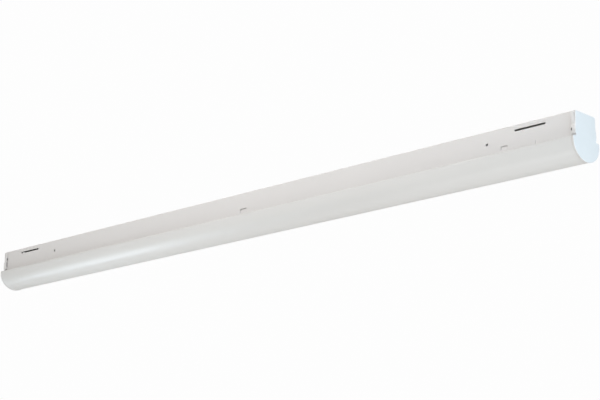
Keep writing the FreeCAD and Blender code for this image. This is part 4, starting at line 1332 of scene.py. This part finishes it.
@dataclass
class Wiring(SubAssembly):
    """The leads on the tray and what ends or holds them."""

    body: Body = Body.TRAY
    sleeve_r: float = 1.6 * MM
    sleeve_length: float = 12.0 * MM
    sleeve_overlap: float = 8.0 * MM
    sleeve_round: float = 0.9 * MM
    sleeve_edge: float = 0.15 * MM
    bore_play: float = 0.1 * MM
    latch: tuple[float, float] = (17.0 * MM, 10.5 * MM)
    latch_half: float = 2.4 * MM
    latch_depth: float = 0.6 * MM
    plug_edge: float = 0.25 * MM
    fixed: tuple[Lead, ...] = (
        Lead("output_lead_red", "red", 0.102, (
            (58.5, 5.4, -31), (32, 5.4, -31), (0, 1.3, -32), (0, 1.3, -45.1), (20, 7.0, -44.1),
            (35, 7.0, -44.11))),
        Lead("output_lead_blue", "blue", 0.102, (
            (58.5, 1.8, -31), (32, 1.6, -31), (0, -1.3, -32), (0, -1.3, -45.1), (20, 4.2, -44.1),
            (35, 4.2, -44.11))),
        Lead("jumper_lead_red", "red", 0.070, (
            (35, -7.0, -44.1), (18, -7.2, -44.3), (0, -7.9, -45.3), (-18, -7.2, -44.3),
            (-35, -7.0, -44.1))),
        Lead("jumper_lead_blue", "blue", 0.070, (
            (35, -4.2, -44.1), (18, -4.4, -44.3), (0, -5.1, -45.3), (-18, -4.4, -44.3),
            (-35, -4.2, -44.1))),
        Lead("input_lead_black", "black", 0.073, (
            (341.5, 2.6, -31), (364, 3.2, -30.2), (390, 2.2, -34.8), (414, 2.6, -35.2))),
        Lead("input_lead_white", "white", 0.073, (
            (341.5, -2.6, -31), (366, -3.4, -29.4), (391, -2.2, -34.8), (414, -2.6, -35.2))),
    )
    sleeved: tuple[Lead, ...] = (
        Lead("dimming_lead_violet", "violet", 0.193, (
            (58.5, -1.8, -31), (34, -3.4, -31.4), (4, -8.6, -35.5), (-28, -9.4, -37.55),
            (-60, -8.6, -37.55), (-96, -9.8, -37.7), (-134, -7.4, -37.7)), far_end="fitting"),
        Lead("dimming_lead_pink", "pink", 0.181, (
            (58.5, -5.4, -31), (36, -7.2, -31.4), (6, -11.6, -35.5), (-28, -11.6, -37.55),
            (-60, -10.8, -37.55), (-94, -13.0, -37.7), (-122, -11.6, -37.7)), far_end="fitting"),
    )

    def sleeve(self, lead: Lead) -> Piece:
        """Makes the closed insulating sleeve on a lead's end.

        Args:
            lead: The lead.

        Returns:
            The sleeve, round at its closed end.
        """
        before, end = [Vector(point) * MM for point in lead.route[-2:]]
        along = (end - before).normalized()
        mouth = end - along * self.sleeve_overlap
        closed = mouth + along * self.sleeve_length
        sleeve = Bench.cylinder(f"end_sleeve_{lead.colour}", mouth, closed, self.sleeve_r)
        Bench.round_off(sleeve, lambda edge: all((v.co - closed).dot(along) > -NEAR for v in edge.verts),
                        self.sleeve_round, segments=5)
        Bench.carve(sleeve, Bench.cylinder("bore", mouth - along * MM, end + along * self.bore_play,
                                           lead.radius + self.bore_play))
        return Bench.ease(sleeve, self.sleeve_edge, 2, shading=Shading.MOULDED)

    def plug(self) -> Piece:
        """Makes the driver half of the disconnect, with a latch pocket on top.

        Returns:
            The plug.
        """
        tip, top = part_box("disconnect_plug")[1].xz
        plug = Bench.copy_of("disconnect_plug", "driver_disconnect")
        start, end = self.latch
        Bench.carve(plug, Bench.block("pocket", (tip - start, -self.latch_half, top - self.latch_depth),
                                      (tip - end, self.latch_half, top + MM)))
        return Bench.ease(plug, self.plug_edge, 2, 50.0, Shading.MOULDED)

    def build(self) -> None:
        """Makes the leads, their sleeves, their clip and the plug."""
        for lead in self.fixed:
            self.dress(lead.build(), SHEATHINGS[lead.colour], lead.node)
        for lead in self.sleeved:
            sleeve = self.dress(self.sleeve(lead), CLIP_PLASTIC, "lead_end_sleeves")
            self.dress(lead.build(sleeve), SHEATHINGS[lead.colour], lead.node)
        self.eased("dimming_lead_clip", "saddle_clip_tray", CLIP_PLASTIC, CLIP_EDGE, segments=2,
                   shading=Shading.MOULDED)
        self.dress(self.plug(), CONNECTOR_PLASTIC, "disconnect_plug")


@dataclass
class SupplySocket(SubAssembly):
    """The supply half of the disconnect, with finger grooves and two test holes."""

    body: Body = Body.SOCKET
    edge: float = 0.2 * MM
    groove: float = 0.8 * MM
    groove_start: float = 2.4 * MM
    groove_pitch: float = 2.0 * MM
    groove_depth: float = 0.4 * MM
    groove_end: float = 1.6 * MM
    groove_count: int = 4
    test_hole_r: float = 0.7 * MM
    test_hole_x: float = 3.4 * MM
    test_hole_depth: float = 1.2 * MM
    wire_y: float = 2.6 * MM

    def build(self) -> None:
        """Makes the socket."""
        low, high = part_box("disconnect_socket")
        socket = Bench.copy_of("disconnect_socket", "supply_disconnect")
        for index in range(self.groove_count):
            x = low.x + self.groove_start + self.groove_pitch * index
            for edge_y, side in ((low.y, -1), (high.y, 1)):
                near, far = sorted((edge_y - side * self.groove_depth, edge_y + side * MM))
                Bench.carve(socket, Bench.block("groove", (x, near, low.z + self.groove_end),
                                                (x + self.groove, far, high.z - self.groove_end)))
        for side in Side:
            x, y = high.x - self.test_hole_x, side.value * self.wire_y
            Bench.carve(socket, Bench.cylinder("test", (x, y, high.z + MM),
                                               (x, y, high.z - self.test_hole_depth), self.test_hole_r, 16))
        Bench.ease(socket, self.edge, 2, 50.0, Shading.MOULDED)
        self.dress(socket, SOCKET_GREY, "disconnect_socket")


@dataclass
class Grounding(SubAssembly):
    """The ground screw in its dimple, the ring terminal, the lead and its clips."""

    body: Body = Body.CHANNEL
    edge: float = 0.1 * MM
    head: float = 2.4 * MM
    head_flat_r: float = 3.5 * MM
    head_round: float = 0.4 * MM
    slot: Point = (5.0 * MM, 0.5 * MM, 0.9 * MM)
    washer: float = 0.8 * MM
    washer_r: float = 4.6 * MM
    washer_slope: float = 0.5 * MM
    washer_round: float = 0.3 * MM
    thread: Thread = Thread(2.0 * MM, 0.8 * MM, 0.25 * MM, crest=0.3)
    crimp_r: float = 0.9 * MM
    crimp_half: float = 4.0 * MM
    crimp_xs: tuple[float, float] = (1.8 * MM, 4.0 * MM)
    lead: Lead = Lead("ground_lead", "green", 0.154, (
        (-86.6, 0, -5.0), (-112, 0.6, -4.6), (-150, -1.4, -3.15), (-182, 0.8, -3.75),
        (-214, -1.4, -3.15), (-240, 0.4, -3.95)), radius=1.1 * MM, far_end="bare")

    def screw(self) -> Piece:
        """Makes the hexagon washer-head screw with its slot.

        Returns:
            The screw.
        """
        low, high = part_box("ground_screw")
        x, y = ((low + high) / 2).xy
        washer_z = low.z + self.head
        seat_z = washer_z + self.washer
        rounding = self.washer_round
        profile = [(0.0, -self.washer), (self.washer_r - self.washer_slope, -self.washer)]
        profile += Bench.arc((self.washer_r - rounding, -rounding), rounding, -60, 0, 3)
        profile += [(self.washer_r, 0.0), *self.thread.profile(high.z - seat_z)]
        shank = Bench.lathe("shank", profile, (x, y, seat_z))
        hexagon = Bench.cylinder("hexagon", (x, y, washer_z), (x, y, low.z),
                                 self.head_flat_r / math.cos(math.pi / 6), 6)
        Bench.round_off(hexagon, Bench.lies_at(2, low.z), self.head_round)
        half_length, half_width, depth = self.slot
        Bench.carve(hexagon, Bench.block("slot", (x - half_length, y - half_width, low.z - MM),
                                         (x + half_length, y + half_width, low.z + depth)))
        Bench.bevel_sharp(hexagon, self.edge, least_angle=50.0)
        return Bench.smooth(Bench.join("hex_ground_screw", [shank, hexagon]), Shading.MOULDED)

    def terminal(self) -> Piece:
        """Makes the ring terminal with two crimps across its barrel.

        Returns:
            The terminal.
        """
        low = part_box("ground_ring_terminal")[0]
        ring = Bench.copy_of("ground_ring_terminal", "crimped_ring_terminal")
        for x in self.crimp_xs:
            place = Vector((low.x + x, 0, low.z - self.crimp_r / 2))
            half = Vector((0, self.crimp_half, 0))
            Bench.carve(ring, Bench.cylinder("crimp", place - half, place + half, self.crimp_r, 20))
        return Bench.ease(ring, self.edge, least_angle=50.0, shading=Shading.MOULDED)

    def build(self) -> None:
        """Makes the ground connection."""
        self.dress(self.screw(), GROUND_GREEN, "ground_screw")
        self.dress(self.terminal(), TINNED_COPPER, "ground_ring_terminal")
        self.dress(self.lead.build(), SHEATHINGS["green"], self.lead.node)
        self.eased("ground_lead_clips", "saddle_clips_channel", CLIP_PLASTIC, CLIP_EDGE, segments=2,
                   shading=Shading.MOULDED)


@dataclass(frozen=True)
class SoftPanel:
    """A soft rectangular light: its place, what it faces, its size, power, colour and beam."""

    name: str
    place: Point
    aim: Point
    size: tuple[float, float]
    power: float
    colour: Colour = (1.0, 1.0, 1.0)
    across: Point = (1.0, 0.0, 0.0)
    beam: float = 180.0

    def add(self) -> None:
        """Adds the light, with its width along the across direction."""
        data = bpy.data.lights.new(self.name, "AREA")
        data.shape = "RECTANGLE"
        data.size, data.size_y = self.size
        data.energy = self.power
        data.color = self.colour
        data.spread = math.radians(self.beam)
        lamp = bpy.data.objects.new(self.name, data)
        back = (Vector(self.place) - Vector(self.aim)).normalized()
        over = back.cross(Vector(self.across)).normalized()
        axes = Matrix((over.cross(back), over, back)).transposed().to_4x4()
        lamp.matrix_world = Matrix.Translation(self.place) @ axes
        lamp.visible_camera = False
        bpy.context.scene.collection.objects.link(lamp)


@dataclass
class Studio:
    """The camera, the soft lights, the backdrop and the floor far below."""

    camera_place: Point = (1.65710, -1.67332, -0.63600)
    camera_right: Point = (0.732306, 0.680968, 0.001675)
    camera_back: Point = (0.658205, -0.707185, -0.258172)
    lens_mm: float = 93.312
    sensor_mm: float = 36.0
    clip_end: float = 60.0
    floor_z: float = -2.60
    floor_size: float = 40.0
    seen_colour: Colour = (0.985, 0.985, 0.985)
    world_light: Colour = (0.530, 0.510, 0.491)
    panels: tuple[SoftPanel, ...] = (
        SoftPanel("Under fill", (0.0, -0.4, -2.4), (0.0, 0.0, 0.0), (5.0, 4.0), 14.3),
        SoftPanel("Under light", (0.35, -0.6, -2.3), (0.25, 0.0, 0.0), (1.6, 1.6), 1.35, beam=42.0),
        SoftPanel("Base light", (0.1, 0.1, -2.4), (0.1, 0.0, -0.06), (1.6, 1.2), 0.760, beam=44.0),
        SoftPanel("Front light", (0.5, -2.4, -1.2), (0.35, 0.0, -0.03), (1.0, 1.0), 0.372, beam=44.0),
        SoftPanel("High light", (0.0, -2.0, 2.2), (0.0, 0.0, 0.0), (1.2, 1.2), 3.13, beam=50.0),
        SoftPanel("High focus", (0.25, -1.8, 1.9), (0.25, 0.0, 0.0), (0.8, 0.6), 0.684, beam=40.0),
        SoftPanel("End light", (1.5, -0.15, -0.10), (0.61, 0.0, -0.03), (0.6, 0.6), 7.29,
                  colour=(0.632, 0.844, 1.0), across=(0.0, 1.0, 0.0)),
        SoftPanel("Near streak", (-1.05, -0.39, -0.60), (-0.30, -0.025, -0.056), (0.20, 0.34), 0.230,
                  colour=(0.826, 0.957, 1.0), across=(0.667, -0.272, -0.694), beam=60.0),
        SoftPanel("Low streak", (-2.05, -0.44, -1.60), (-0.34, -0.025, -0.057), (0.30, 0.60), 0.099,
                  colour=(0.747, 0.859, 1.0), across=(0.667, -0.272, -0.694), beam=18.0),
        SoftPanel("Right glint", (-0.55, -0.72, -2.0), (0.53, 0.0, -0.06), (0.5, 0.45), 1.53),
        SoftPanel("Right streak", (-0.35, -0.58, -1.42), (0.56, -0.02, -0.06), (0.35, 0.35), 0.033,
                  beam=20.0),
    )

    def camera(self) -> None:
        """Places the camera at the photograph's viewpoint."""
        right, back = Vector(self.camera_right).normalized(), Vector(self.camera_back).normalized()
        up = back.cross(right)
        data = bpy.data.cameras.new("Camera")
        data.sensor_width = self.sensor_mm
        data.lens = self.lens_mm
        data.clip_end = self.clip_end
        camera = bpy.data.objects.new("Camera", data)
        axes = Matrix((right, up, back)).transposed().to_4x4()
        camera.matrix_world = Matrix.Translation(self.camera_place) @ axes
        bpy.context.scene.collection.objects.link(camera)
        bpy.context.scene.camera = camera

    def backdrop(self) -> None:
        """Surrounds the scene with even light, and shows the camera a plain white backdrop."""
        world = bpy.data.worlds.new("Studio")
        world.use_nodes = True
        bpy.context.scene.world = world
        graph = Graph(world.node_tree)
        light = graph.tree.nodes["Background"]
        graph.feed(light.inputs["Color"], self.world_light)
        seen = graph.add("Background", {"Color": self.seen_colour})
        camera_ray = graph.add("LightPath", {}).outputs["Is Camera Ray"]
        mix = graph.add("MixShader", {0: camera_ray, 1: light.outputs[0], 2: seen.outputs[0]})
        graph.feed(graph.tree.nodes["World Output"].inputs["Surface"], mix.outputs[0])

    def floor(self) -> None:
        """Lays the pale floor."""
        floor = Bench.add("studio_floor", bpy.ops.mesh.primitive_plane_add, size=self.floor_size,
                          location=(0, 0, self.floor_z))
        floor.data.materials.append(FLOOR_PAINT.make())

    def build(self) -> None:
        """Sets up the whole studio."""
        bpy.context.scene.view_settings.view_transform = "Standard"
        self.camera()
        self.backdrop()
        self.floor()
        for panel in self.panels:
            panel.add()


def main() -> None:
    """Builds the studio and every sub-assembly in order."""
    logging.basicConfig(level=logging.INFO, format="%(message)s")
    Studio().build()
    assemblies = (Housing(), EndCaps(), Lens(), Tray(), LightEngine(), Driver(), Wiring(), SupplySocket(),
                  Grounding())
    for assembly in assemblies:
        assembly.build()


if __name__ == "__main__":
    main()
